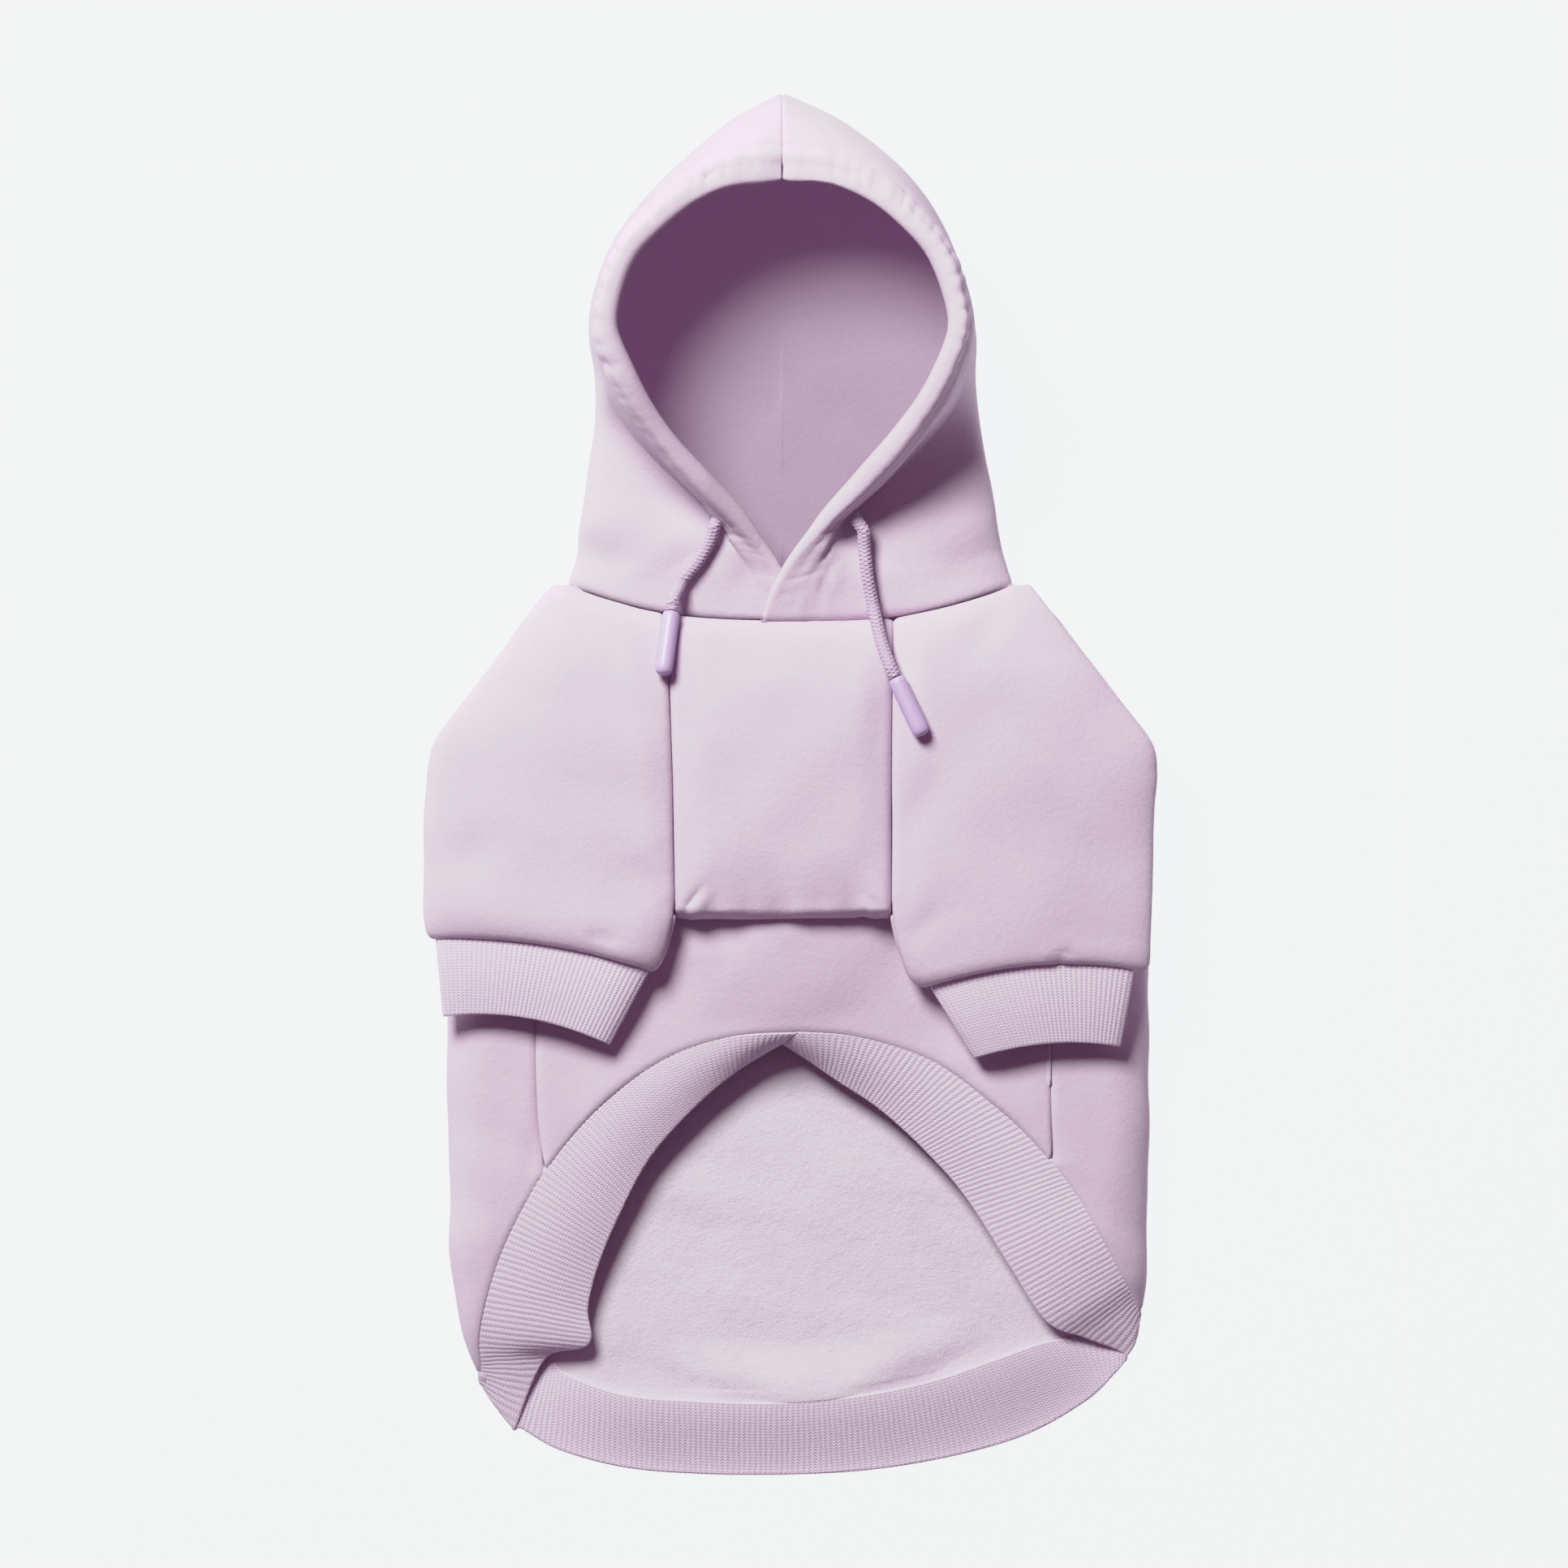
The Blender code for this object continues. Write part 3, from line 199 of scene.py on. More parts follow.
# A sleeve from its cuff seam up to the neckline.
# seam is the raglan seam, or the inner fold below the armpit: across is a share of half of CHEST_WIDTH.
# out is the outer fold: reach goes from 0 at the shoulder to 1 at the widest place.
# edge is the armhole seam under the sleeve: across is a share of half of BODY_WIDTH.
# down is always a share of BODY_LENGTH. crest goes from 0 at the neck's height to 1 at TORSO_HEIGHT, and
# fold from 0 at a flat seam to 1 at a round fold. bow is a share of BODY_LENGTH by which the middle of the
# row lies nearer the hood.
SLEEVES = {
    LEFT: (
        # seam across, down, out reach, down, edge across, down, crest, fold, bow
        (1.244, 0.434, 0.960, 0.397, 0.000, 0.000, 0.76, 1.00, 0.012),
        (1.176, 0.419, 0.992, 0.378, 0.000, 0.000, 0.94, 1.00, 0.009),
        (1.110, 0.396, 0.994, 0.346, 0.000, 0.000, 1.00, 0.80, 0.005),
        (1.056, 0.373, 0.990, 0.310, 0.000, 0.000, 1.00, 0.30, 0.002),
        (1.054, 0.351, 0.987, 0.282, 0.428, 0.359, 1.00, 0.00, 0.000),
        (1.058, 0.328, 0.982, 0.255, 0.567, 0.326, 1.00, 0.00, 0.000),
        (1.062, 0.300, 0.976, 0.228, 0.690, 0.293, 1.00, 0.00, 0.000),
        (1.067, 0.264, 0.962, 0.202, 0.742, 0.263, 1.00, 0.00, 0.000),
        (1.074, 0.219, 0.905, 0.174, 0.748, 0.232, 1.00, 0.00, 0.000),
        (1.089, 0.164, 0.700, 0.132, 0.742, 0.178, 1.00, 0.00, 0.000),
        (1.104, 0.109, 0.430, 0.080, 0.695, 0.114, 0.92, 0.00, 0.000),
        (1.126, 0.064, 0.190, 0.036, 0.626, 0.050, 0.60, 0.00, 0.000),
        (1.141, 0.034, 0.000, 0.001, 0.560, 0.010, 0.00, 0.00, 0.000),
    ),
    RIGHT: (
        (1.230, 0.452, 0.930, 0.433, 0.000, 0.000, 0.76, 1.00, 0.016),
        (1.096, 0.440, 0.948, 0.412, 0.000, 0.000, 0.94, 1.00, 0.012),
        (0.978, 0.408, 0.958, 0.373, 0.000, 0.000, 1.00, 0.80, 0.006),
        (0.921, 0.373, 0.966, 0.332, 0.000, 0.000, 1.00, 0.30, 0.002),
        (0.919, 0.351, 0.972, 0.301, 0.386, 0.360, 1.00, 0.00, 0.000),
        (0.919, 0.328, 0.978, 0.270, 0.526, 0.332, 1.00, 0.00, 0.000),
        (0.919, 0.300, 0.984, 0.242, 0.676, 0.300, 1.00, 0.00, 0.000),
        (0.919, 0.264, 0.992, 0.214, 0.744, 0.270, 1.00, 0.00, 0.000),
        (0.919, 0.219, 0.955, 0.180, 0.752, 0.234, 1.00, 0.00, 0.000),
        (0.922, 0.164, 0.745, 0.135, 0.752, 0.178, 1.00, 0.00, 0.000),
        (0.926, 0.109, 0.465, 0.083, 0.700, 0.114, 0.92, 0.00, 0.000),
        (0.930, 0.068, 0.215, 0.038, 0.622, 0.052, 0.60, 0.00, 0.000),
        (0.933, 0.042, 0.020, 0.001, 0.556, 0.012, 0.00, 0.00, 0.000),
    ),
}

# The free end of a cuff: how far its inner and outer corners lie in from those of the cuff seam, as shares of
# CUFF_LENGTH, and how far down they are from them, in the same shares.
CUFF_ENDS = {
    # inner in, inner down, outer in, outer down
    LEFT: (0.50, 0.93, 0.09, 1.00),
    RIGHT: (0.56, 0.90, 0.20, 0.97),
}

# The hem band, from the notch in the middle of the belly edge round by the left, the back and the right.
# seam is its edge on the panels and free its other edge: across is a share of half of BODY_WIDTH, down of
# BODY_LENGTH, and lift goes from 0 on the back's cloth to 1 on the belly's.
HEM = (
    # seam across, down, lift, free across, down, lift
    (0.018, 0.503, 1.00, -0.025, 0.514, 0.52),
    (-0.172, 0.509, 1.00, -0.160, 0.548, 0.66),
    (-0.358, 0.533, 1.00, -0.288, 0.592, 0.68),
    (-0.533, 0.581, 1.00, -0.405, 0.645, 0.68),
    (-0.684, 0.648, 1.00, -0.493, 0.710, 0.66),
    (-0.795, 0.721, 1.00, -0.551, 0.765, 0.64),
    (-0.858, 0.783, 0.94, -0.580, 0.812, 0.62),
    (-0.890, 0.838, 0.80, -0.577, 0.852, 0.56),
    (-0.886, 0.872, 0.56, -0.700, 0.868, 0.32),
    (-0.866, 0.900, 0.22, -0.784, 0.944, 0.14),
    (-0.715, 0.869, 0.01, -0.768, 0.949, 0.05),
    (-0.640, 0.890, 0.00, -0.658, 0.973, 0.00),
    (-0.474, 0.912, 0.00, -0.474, 0.992, 0.00),
    (-0.265, 0.919, 0.00, -0.265, 0.999, 0.00),
    (-0.021, 0.921, 0.00, -0.021, 1.000, 0.00),
    (0.200, 0.913, 0.00, 0.219, 0.995, 0.00),
    (0.409, 0.896, 0.00, 0.456, 0.980, 0.00),
    (0.584, 0.873, 0.00, 0.670, 0.956, 0.00),
    (0.733, 0.853, 0.00, 0.834, 0.921, 0.00),
    (0.890, 0.844, 0.03, 0.915, 0.893, 0.05),
    (0.990, 0.826, 0.30, 0.956, 0.866, 0.12),
    (0.980, 0.800, 0.62, 0.845, 0.846, 0.30),
    (0.950, 0.776, 0.86, 0.735, 0.828, 0.50),
    (0.888, 0.730, 1.00, 0.632, 0.768, 0.58),
    (0.802, 0.676, 1.00, 0.502, 0.688, 0.56),
    (0.702, 0.628, 1.00, 0.386, 0.636, 0.56),
    (0.591, 0.586, 1.00, 0.258, 0.590, 0.56),
    (0.409, 0.536, 1.00, 0.130, 0.556, 0.56),
    (0.195, 0.509, 1.00, 0.049, 0.533, 0.56),
    (0.019, 0.503, 1.00, -0.024, 0.515, 0.54),
)
# The rows of HEM where the band passes the corners of the belly panel and the side folds.
HEM_LEFT_CORNER, HEM_LEFT_FOLD, HEM_RIGHT_FOLD, HEM_RIGHT_CORNER = 4.13, 9.0, 20.0, 24.55

# One side of the hood, from the crossing at the throat up the face opening to the crown.
# across is a share of half of HOOD_WIDTH, up of HOOD_LENGTH, lift of HOOD_HEIGHT, and roll of CASING_RADIUS.
# out is the silhouette, back the middle seam underneath, level the height of the cloth beside the rim as a
# share of NECK_HEIGHT, and skirt says how far the rim stands up from that cloth like a collar. lean moves
# the silhouette to the right, as a share of half of HOOD_WIDTH.
HOOD = (
    # rim across, up, lift, out across, up, back up, roll, level, skirt, lean
    (-0.100, -0.078, 0.40, 1.163, 0.000, 0.000, 0.42, 1.00, 0.0, 0.000),
    (-0.030, -0.018, 0.42, 1.112, 0.050, 0.045, 0.44, 0.97, 0.2, 0.012),
    (0.070, 0.048, 0.46, 1.088, 0.108, 0.100, 0.50, 0.95, 0.6, 0.020),
    (0.225, 0.118, 0.54, 1.062, 0.176, 0.170, 0.70, 0.93, 1.0, 0.037),
    (0.430, 0.196, 0.66, 1.034, 0.252, 0.250, 0.92, 0.90, 1.0, 0.028),
    (0.640, 0.290, 0.80, 1.002, 0.334, 0.330, 1.00, 0.86, 0.8, 0.028),
    (0.830, 0.400, 0.93, 0.984, 0.424, 0.420, 1.00, 0.80, 0.3, 0.017),
    (0.949, 0.512, 1.00, 1.000, 0.514, 0.510, 1.00, 0.70, 0.0, 0.000),
    (0.928, 0.598, 1.00, 0.962, 0.608, 0.600, 1.00, 0.60, 0.0, -0.005),
    (0.834, 0.684, 0.98, 0.868, 0.704, 0.680, 1.00, 0.60, 0.0, 0.000),
    (0.664, 0.751, 0.96, 0.697, 0.800, 0.760, 1.00, 0.60, 0.0, 0.021),
    (0.485, 0.801, 0.94, 0.494, 0.880, 0.830, 1.00, 0.60, 0.0, 0.034),
    (0.272, 0.832, 0.92, 0.262, 0.950, 0.880, 1.00, 0.60, 0.0, 0.020),
    (0.000, 0.840, 0.88, 0.000, 1.000, 0.920, 1.00, 0.60, 0.0, 0.000),
)

# Creases and dents of the cloth, in the frame: a line from start to end, how wide it is, and how far it
# stands up from the cloth or, if negative, dents it.
CREASES = {
    "chest_panel": (
        # start x, y, end x, y, width, height
        (-0.0400, -0.0480, -0.0335, -0.0385, 0.0016, -0.0011),
        (-0.0375, -0.0492, -0.0300, -0.0400, 0.0022, 0.0006),
        (0.0350, -0.0490, 0.0290, -0.0405, 0.0018, -0.0008),
        (0.0240, -0.0490, 0.0300, -0.0470, 0.0022, -0.0008),
        (0.0000, -0.0465, 0.0180, -0.0470, 0.0030, 0.0004),
        (-0.0380, 0.0500, -0.0330, 0.0250, 0.0045, -0.0006),
    ),
    "sleeve_left": (
        (-0.0705, -0.0590, -0.0665, -0.0530, 0.0018, -0.0014),
        (-0.0700, -0.0600, -0.0560, -0.0640, 0.0030, 0.0006),
        (-0.0500, -0.0440, -0.0600, -0.0260, 0.0060, -0.0009),
        (-0.0480, -0.0200, -0.0640, 0.0060, 0.0080, -0.0008),
        (-0.1250, -0.0300, -0.1060, -0.0180, 0.0080, -0.0008),
        (-0.0820, 0.0700, -0.0600, 0.0420, 0.0070, -0.0010),
        (-0.0560, 0.0610, -0.0480, 0.0300, 0.0050, -0.0007),
    ),
    "sleeve_right": (
        (0.0985, -0.0655, 0.1008, -0.0605, 0.0014, -0.0018),
        (0.0960, -0.0640, 0.1000, -0.0600, 0.0030, 0.0006),
        (0.0400, -0.0200, 0.0560, 0.0050, 0.0080, -0.0010),
        (0.0420, -0.0600, 0.0560, -0.0450, 0.0060, -0.0008),
        (0.1260, -0.0350, 0.1060, -0.0150, 0.0080, -0.0008),
        (0.0820, 0.0700, 0.0620, 0.0440, 0.0070, -0.0010),
        (0.0400, 0.0600, 0.0480, 0.0300, 0.0050, -0.0006),
    ),
    "belly_panel": (
        (-0.0400, -0.0560, -0.0250, -0.0640, 0.0070, 0.0007),
        (0.0360, -0.0540, 0.0480, -0.0800, 0.0080, -0.0012),
        (-0.0620, -0.0980, -0.0780, -0.1180, 0.0080, 0.0008),
        (0.0700, -0.1050, 0.0900, -0.1250, 0.0080, 0.0007),
    ),
    "back_panel": (
        (-0.1150, -0.1000, -0.1040, -0.1500, 0.0080, -0.0006),
        (0.1160, -0.1150, 0.1080, -0.1500, 0.0080, -0.0006),
        (-0.0940, -0.1250, -0.0960, -0.1450, 0.0040, -0.0008),
        (0.0960, -0.1250, 0.0980, -0.1400, 0.0040, -0.0008),
    ),
    "hood_left": (
        (-0.0560, 0.0800, -0.0300, 0.0960, 0.0060, 0.0009),
        (-0.0780, 0.0900, -0.0600, 0.0760, 0.0070, -0.0008),
        (-0.0200, 0.0700, -0.0120, 0.0850, 0.0040, -0.0006),
        (-0.0310, 0.1015, -0.0240, 0.0975, 0.0022, 0.0012),
        (-0.0270, 0.0960, -0.0215, 0.0880, 0.0026, 0.0008),
    ),
    "hood_right": (
        (0.0045, 0.0620, 0.0110, 0.0800, 0.0020, 0.0010),
        (0.0075, 0.0620, 0.0150, 0.0810, 0.0016, -0.0010),
        (0.0105, 0.0640, 0.0170, 0.0790, 0.0018, 0.0007),
        (0.0215, 0.0945, 0.0300, 0.0990, 0.0020, 0.0010),
        (0.0780, 0.0850, 0.0520, 0.0760, 0.0070, -0.0008),
        (0.0660, 0.1300, 0.0560, 0.1000, 0.0080, -0.0006),
    ),
}

# Where each free end of the drawcord starts inside the casing, measured from the first point of its route
CORD_STARTS = {LEFT: (0.0034, 0.0042, -0.0010), RIGHT: (-0.0040, 0.0056, -0.0008)}

# Centrelines of the drawcord's free ends
CORD_ROUTES = {
    LEFT: (
        # x, y, z
        (-0.02795, 0.02198, 0.03143),
        (-0.02810, 0.02107, 0.03128),
        (-0.02835, 0.01975, 0.03083),
        (-0.02881, 0.01814, 0.03025),
        (-0.02962, 0.01619, 0.02967),
        (-0.03079, 0.01387, 0.02913),
        (-0.03217, 0.01135, 0.02864),
        (-0.03362, 0.00902, 0.02816),
        (-0.03516, 0.00704, 0.02775),
        (-0.03682, 0.00522, 0.02739),
        (-0.03837, 0.00340, 0.02712),
        (-0.03966, 0.00162, 0.02656),
        (-0.04127, -0.00132, 0.02768),
        (-0.04336, -0.00582, 0.03159),
        (-0.04351, -0.00762, 0.03193),
        (-0.04382, -0.00991, 0.03257),
    ),
    RIGHT: (
        (0.02705, 0.01968, 0.03182),
        (0.02706, 0.01836, 0.03175),
        (0.02707, 0.01645, 0.03159),
        (0.02718, 0.01412, 0.03146),
        (0.02738, 0.01145, 0.03162),
        (0.02768, 0.00840, 0.03193),
        (0.02810, 0.00498, 0.03198),
        (0.02869, 0.00118, 0.03188),
        (0.02943, -0.00302, 0.03163),
        (0.03031, -0.00747, 0.03184),
        (0.03131, -0.01215, 0.03309),
        (0.03243, -0.01714, 0.03433),
        (0.03388, -0.02267, 0.03595),
        (0.03670, -0.03033, 0.03785),
        (0.03759, -0.03215, 0.03803),
        (0.03860, -0.03430, 0.03829),
    ),
}

# How far the ribs slant at the right of the notch: each starts at a place on the hem band's free edge, and
# ends further along its seam edge. Both are counted in rows of HEM.
RIB_SLANT = (
    # free edge's place, how much further along the seam edge
    (22.00, 0.00),
    (24.00, 0.45),
    (24.68, 0.72),
    (25.07, 0.95),
    (25.82, 1.12),
    (26.87, 1.18),
    (27.40, 1.10),
    (27.98, 0.96),
    (28.66, 0.68),
    (29.38, 0.30),
    (30.00, 0.00),
)

# How far each cuff is drawn in at its outer end, at the seam and at the free edge
CUFF_PULL = {LEFT: (0.0, 0.0), RIGHT: (0.0026, 0.0040)}

# Four times how far the middle of each cuff's free edge bows towards the hood
CUFF_BOW = {LEFT: 0.0088, RIGHT: 0.0}

# The waves by which the hem's ribs wander: radians per metre along X and along Y
RIB_WAVES = ((260, 90), (-120, 340), (700, 520))

# The ripples along the chest's lower edge: how high each is, and how fast it goes up and down
CHEST_RIPPLES = ((0.0007, 210), (0.0004, 470))

# The dipped end of a cord, as a share of its length and of its diameter
TIP_PROFILE = (
    # along, width
    (0.000, 0.00),
    (0.000, 0.60),
    (0.006, 0.74),
    (0.020, 0.86),
    (0.045, 0.94),
    (0.090, 0.97),
    (0.300, 0.98),
    (0.600, 1.00),
    (0.820, 1.00),
    (0.880, 0.985),
    (0.925, 0.93),
    (0.955, 0.84),
    (0.978, 0.70),
    (0.992, 0.48),
    (0.999, 0.22),
    (1.000, 0.00),
)

COLOURS = {
    # red, green, blue of the lit cloth, then of its hollows: painted shade on the low fibres and between knit
    # loops and braid plaits, also spread in faint random clouds
    "fleece": ((0.725, 0.575, 0.722), (0.61, 0.46, 0.615)),
    "fleece_inside": ((0.80, 0.68, 0.81), (0.70, 0.57, 0.71)),
    # darker inside the hood: painted shade
    "hood_inside_painted_shade_and_glow": ((0.37, 0.295, 0.37), (0.315, 0.24, 0.32)),
    "rib_knit": ((0.80, 0.655, 0.815), (0.64, 0.49, 0.665)),
    "cord_braid": ((0.66, 0.50, 0.68), (0.44, 0.29, 0.47)),
    "dipped_tip": ((0.60, 0.45, 0.73), (0.56, 0.41, 0.70)),
}


def spline(rows, at):
    """The table's row at a place counted in rows, on a smooth curve through them all."""
    rows = np.asarray(rows, float)
    last = len(rows) - 1
    at = min(max(at, 0.0), float(last))
    i = min(int(at), last - 1)
    f = at - i
    before, start, end, after = (rows[min(max(k, 0), last)] for k in (i - 1, i, i + 1, i + 2))
    slope_in, slope_out = (end - before) / 2, (after - start) / 2
    turn = 3 * (end - start) - 2 * slope_in - slope_out
    return start + slope_in * f + turn * f**2 + (slope_in + slope_out - 2 * (end - start)) * f**3


def dense(rows, count=240):
    """A table sampled so finely that straight lines between its rows are smooth."""
    return np.array([spline(rows, at) for at in np.linspace(0, len(rows) - 1, count)])


OUTLINE_CURVE = dense(BODY_OUTLINE)
EDGE_CURVE = dense(BACK_EDGE)


def fold_x(side, y):
    """Where the body's side fold lies at y."""
    share = np.interp(-y / BODY_LENGTH, OUTLINE_CURVE[:, 0], OUTLINE_CURVE[:, 1 if side == LEFT else 2])
    return side * share * BODY_WIDTH / 2


def edge_x(side, y):
    """Where the back panel's edge on top of the body lies at y."""
    share = np.interp(-y / BODY_LENGTH, EDGE_CURVE[:, 0], EDGE_CURVE[:, 1 if side == LEFT else 2])
    return side * share * BODY_WIDTH / 2


def body_level(x, y):
    """The middle of the cloth on top of the body, away from its side folds."""
    down = -y / BODY_LENGTH
    top = BODY_HEIGHT * np.interp(down, OUTLINE_CURVE[:, 0], OUTLINE_CURVE[:, 3]) - CLOTH / 2
    below = max(0.0, -y - chest_bottom())
    return top + BELLY_RISE * math.exp(-((x / BELLY_RISE_WIDTH) ** 2) - (below / BELLY_RISE_LENGTH) ** 2)


def chest_bottom():
    """How far the chest panel's lower edge lies below the shoulder line."""
    return SLEEVES[LEFT][3][1] * BODY_LENGTH


def belly_top(x):
    """The belly panel's upper edge, which rises to the armholes on both sides of the chest."""
    rise = min(1.0, max(0.0, (abs(x) - CHEST_WIDTH / 2) / ARMHOLE_WIDTH))
    return -chest_bottom() + CHEST_TUCK + ARMHOLE_RISE * rise


def neckline_y(x):
    """The front neckline, which dips in the middle."""
    return -NECK_DIP * (1 - min(abs(2 * x / NECK_WIDTH), 1.0) ** NECK_CURVE)


def hem_point(at, free=False):
    """A point on the hem band's seam edge or its free edge, counted in rows of HEM."""
    row = spline(HEM, at)
    across, down, lift = row[3:6] if free else row[0:3]
    x, y = across * BODY_WIDTH / 2, -down * BODY_LENGTH
    return np.array((x, y, CLOTH / 2 + max(0.0, lift) * (body_level(x, y) - CLOTH / 2)))


def hem_places(start, end, count):
    """Places on HEM between two others, evenly spaced along the seam edge."""
    fine = np.linspace(start, end, HEM_FINE)
    points = np.array([hem_point(at) for at in fine])
    run = np.concatenate(([0], np.cumsum(np.linalg.norm(np.diff(points, axis=0), axis=1))))
    return np.interp(np.linspace(0, run[-1], count), run, fine)


# Lines that sections are made of. Each gives the points after its first one.


def straight(start, end, count):
    """A straight line."""
    count *= FINE
    start, end = np.asarray(start, float), np.asarray(end, float)
    return [start + (end - start) * i / count for i in range(1, count + 1)]


def level_to_plumb(start, end, count, square=2.0):
    """A quarter turn that leaves start level and reaches end plumb."""
    count *= FINE
    points = []
    for i in range(1, count + 1):
        angle = math.pi / 2 * i / count
        along, drop = math.sin(angle) ** (2 / square), 1 - max(math.cos(angle), 0.0) ** (2 / square)
        points.append(start + (end - start) * np.array((along, along, drop)))
    return points


def plumb_to_level(start, end, count, square=2.0):
    """A quarter turn that leaves start plumb and reaches end level."""
    turned = level_to_plumb(end, start, count, square)
    return [*reversed(turned[:-1]), np.asarray(end, float)]


def toward(start, end, distance):
    """The plan point this far from start on the way to end, at start's height, at most 0.9 of the way."""
    way = np.array((end[0] - start[0], end[1] - start[1], 0.0))
    length = float(np.linalg.norm(way))
    return np.asarray(start, float) + way * min(0.9, distance / max(length, 1e-9))


def at_height(point, z):
    """The point, moved plumb to this height."""
    return np.array((point[0], point[1], z))


def ease(value):
    """From 0 to 1 on a soft S."""
    value = np.clip(value, 0.0, 1.0)
    return value * value * (3 - 2 * value)


# Cloth walls from grids of points


def along_lines(grid):
    """How far each point lies along its row from the row's start."""
    steps = np.linalg.norm(np.diff(grid, axis=1), axis=2)
    return np.concatenate((np.zeros((len(grid), 1)), np.cumsum(steps, axis=1)), axis=1)


def with_edges(grid, start=True, end=True):
    """Adds fine steps at the start and end of each row, for its turned or rounded edges."""
    steps = np.array(EDGE_STEPS)
    made = []
    for line, run in zip(grid, along_lines(grid)):
        length = max(run[-1], 1e-7)
        reach = min(EDGE_REACH, 0.3 * length)
        first, last = reach * start, length - reach * end
        places = first + run / length * (last - first)
        if start:
            places = np.concatenate((steps * reach / EDGE_REACH, places))
        if end:
            places = np.concatenate((places, (length - steps * reach / EDGE_REACH)[::-1]))
        made.append(np.stack([np.interp(places, run, line[:, axis]) for axis in range(3)], axis=1))
    return np.array(made)


def edged(grid, top=True, bottom=True):
    """The grid with fine steps at both ends of its rows and, where asked for, at its first and last row."""
    grid = with_edges(np.asarray(grid, float))
    turned = with_edges(np.swapaxes(grid, 0, 1), top, bottom)
    return np.swapaxes(turned, 0, 1)


def edge_distances(grid):
    """How far each point lies from the grid's first and last row and its first and last column."""
    across = along_lines(grid)
    down = along_lines(np.swapaxes(grid, 0, 1)).T
    return {"top": down, "bottom": down[-1] - down, "start": across, "end": across[:, -1:] - across}


def normals(grid, outward, closed=None):
    """Unit normals of a grid. outward is (row, column, direction), where the outer side faces that way."""
    rows = np.gradient(grid, axis=0)
    columns = np.gradient(grid, axis=1)
    if closed is not None:
        around = grid[closed, 1] - grid[closed, -2]
        columns[closed, 0] = around
        columns[closed, -1] = around
    found = np.cross(columns, rows)
    size = np.linalg.norm(found, axis=2, keepdims=True)
    good = size[:, :, 0] > 1e-13
    found = np.where(size > 1e-13, found / np.maximum(size, 1e-13), 0.0)
    for r in range(len(grid)):
        if not good[r].all() and good[r].any():
            places = np.where(good[r])[0]
            nearest = places[np.abs(places[None, :] - np.arange(grid.shape[1])[:, None]).argmin(axis=1)]
            found[r] = found[r][nearest]
        elif not good[r].any() and r > 0:
            found[r] = found[r - 1]
    row, column, direction = outward
    if float(np.dot(found[row, column], direction)) < 0:
        found = -found
    return found


def seam_turn(distance):
    """How far the cloth turns in at this distance from a seam."""
    share = 1 - np.minimum(distance, SEAM_TURN) / SEAM_TURN
    return SEAM_DEPTH * (1 - np.sqrt(np.maximum(0.0, 1 - share**2)))


def crease_relief(name, grid):
    """What the creases and dents of this piece add to its cloth."""
    relief = np.zeros(grid.shape[:2])
    plan = grid[:, :, :2] + SHOULDER_LINE[:2]
    for x0, y0, x1, y1, width, height in CREASES.get(name, ()):
        start, way = np.array((x0, y0)), np.array((x1 - x0, y1 - y0))
        length = float(np.linalg.norm(way))
        along = ((plan - start) @ way) / length**2
        beside = np.abs((plan - start) @ np.array((-way[1], way[0]))) / length
        beyond = np.maximum(0.0, np.abs(along - 0.5) - 0.5) * length
        taper = 0.35 + 0.65 * np.sin(math.pi * np.clip(along, 0, 1))
        relief += height * taper * np.exp(-((beside / width) ** 2) - (beyond / (1.5 * width)) ** 2)
    return relief


def soft_waves(grid, seed):
    """The slight unevenness of cloth that lies loose."""
    chance = np.random.default_rng(seed)
    relief = np.zeros(grid.shape[:2])
    for _ in range(WAVE_COUNT):
        direction = chance.normal(size=3)
        direction *= 2 * math.pi / (WAVE_SIZE * chance.uniform(0.6, 1.6) * np.linalg.norm(direction))
        relief += np.sin(grid @ direction + chance.uniform(0, 2 * math.pi))
    return relief * WAVE_HEIGHT / math.sqrt(WAVE_COUNT)


def placed(name, data):
    """An object of this mesh, lamp or camera, in the scene."""
    obj = bpy.data.objects.new(name, data)
    bpy.context.scene.collection.objects.link(obj)
    return obj


def keep_values(mesh, label, values):
    """Keeps a number or a direction for each of a mesh's points."""
    values = np.asarray(values, float)
    plain = values.ndim == 1
    kept = mesh.attributes.new(label, "FLOAT" if plain else "FLOAT_VECTOR", "POINT")
    kept.data.foreach_set("value" if plain else "vector", values.reshape(-1))


def turn_out(mesh, merge=None):
    """Merges a mesh's points that lie within this distance, if one is given, and turns its faces outwards."""
    work = bmesh.new()
    work.from_mesh(mesh)
    if merge is not None:
        bmesh.ops.remove_doubles(work, verts=work.verts, dist=merge)
    bmesh.ops.recalc_face_normals(work, faces=work.faces)
    work.to_mesh(mesh)
    work.free()


def four_corners(points):
    """The points round each face of a grid of points."""
    corners = (points[:-1, :-1], points[:-1, 1:], points[1:, 1:], points[1:, :-1])
    return np.stack(corners, axis=2).reshape(-1, 4)


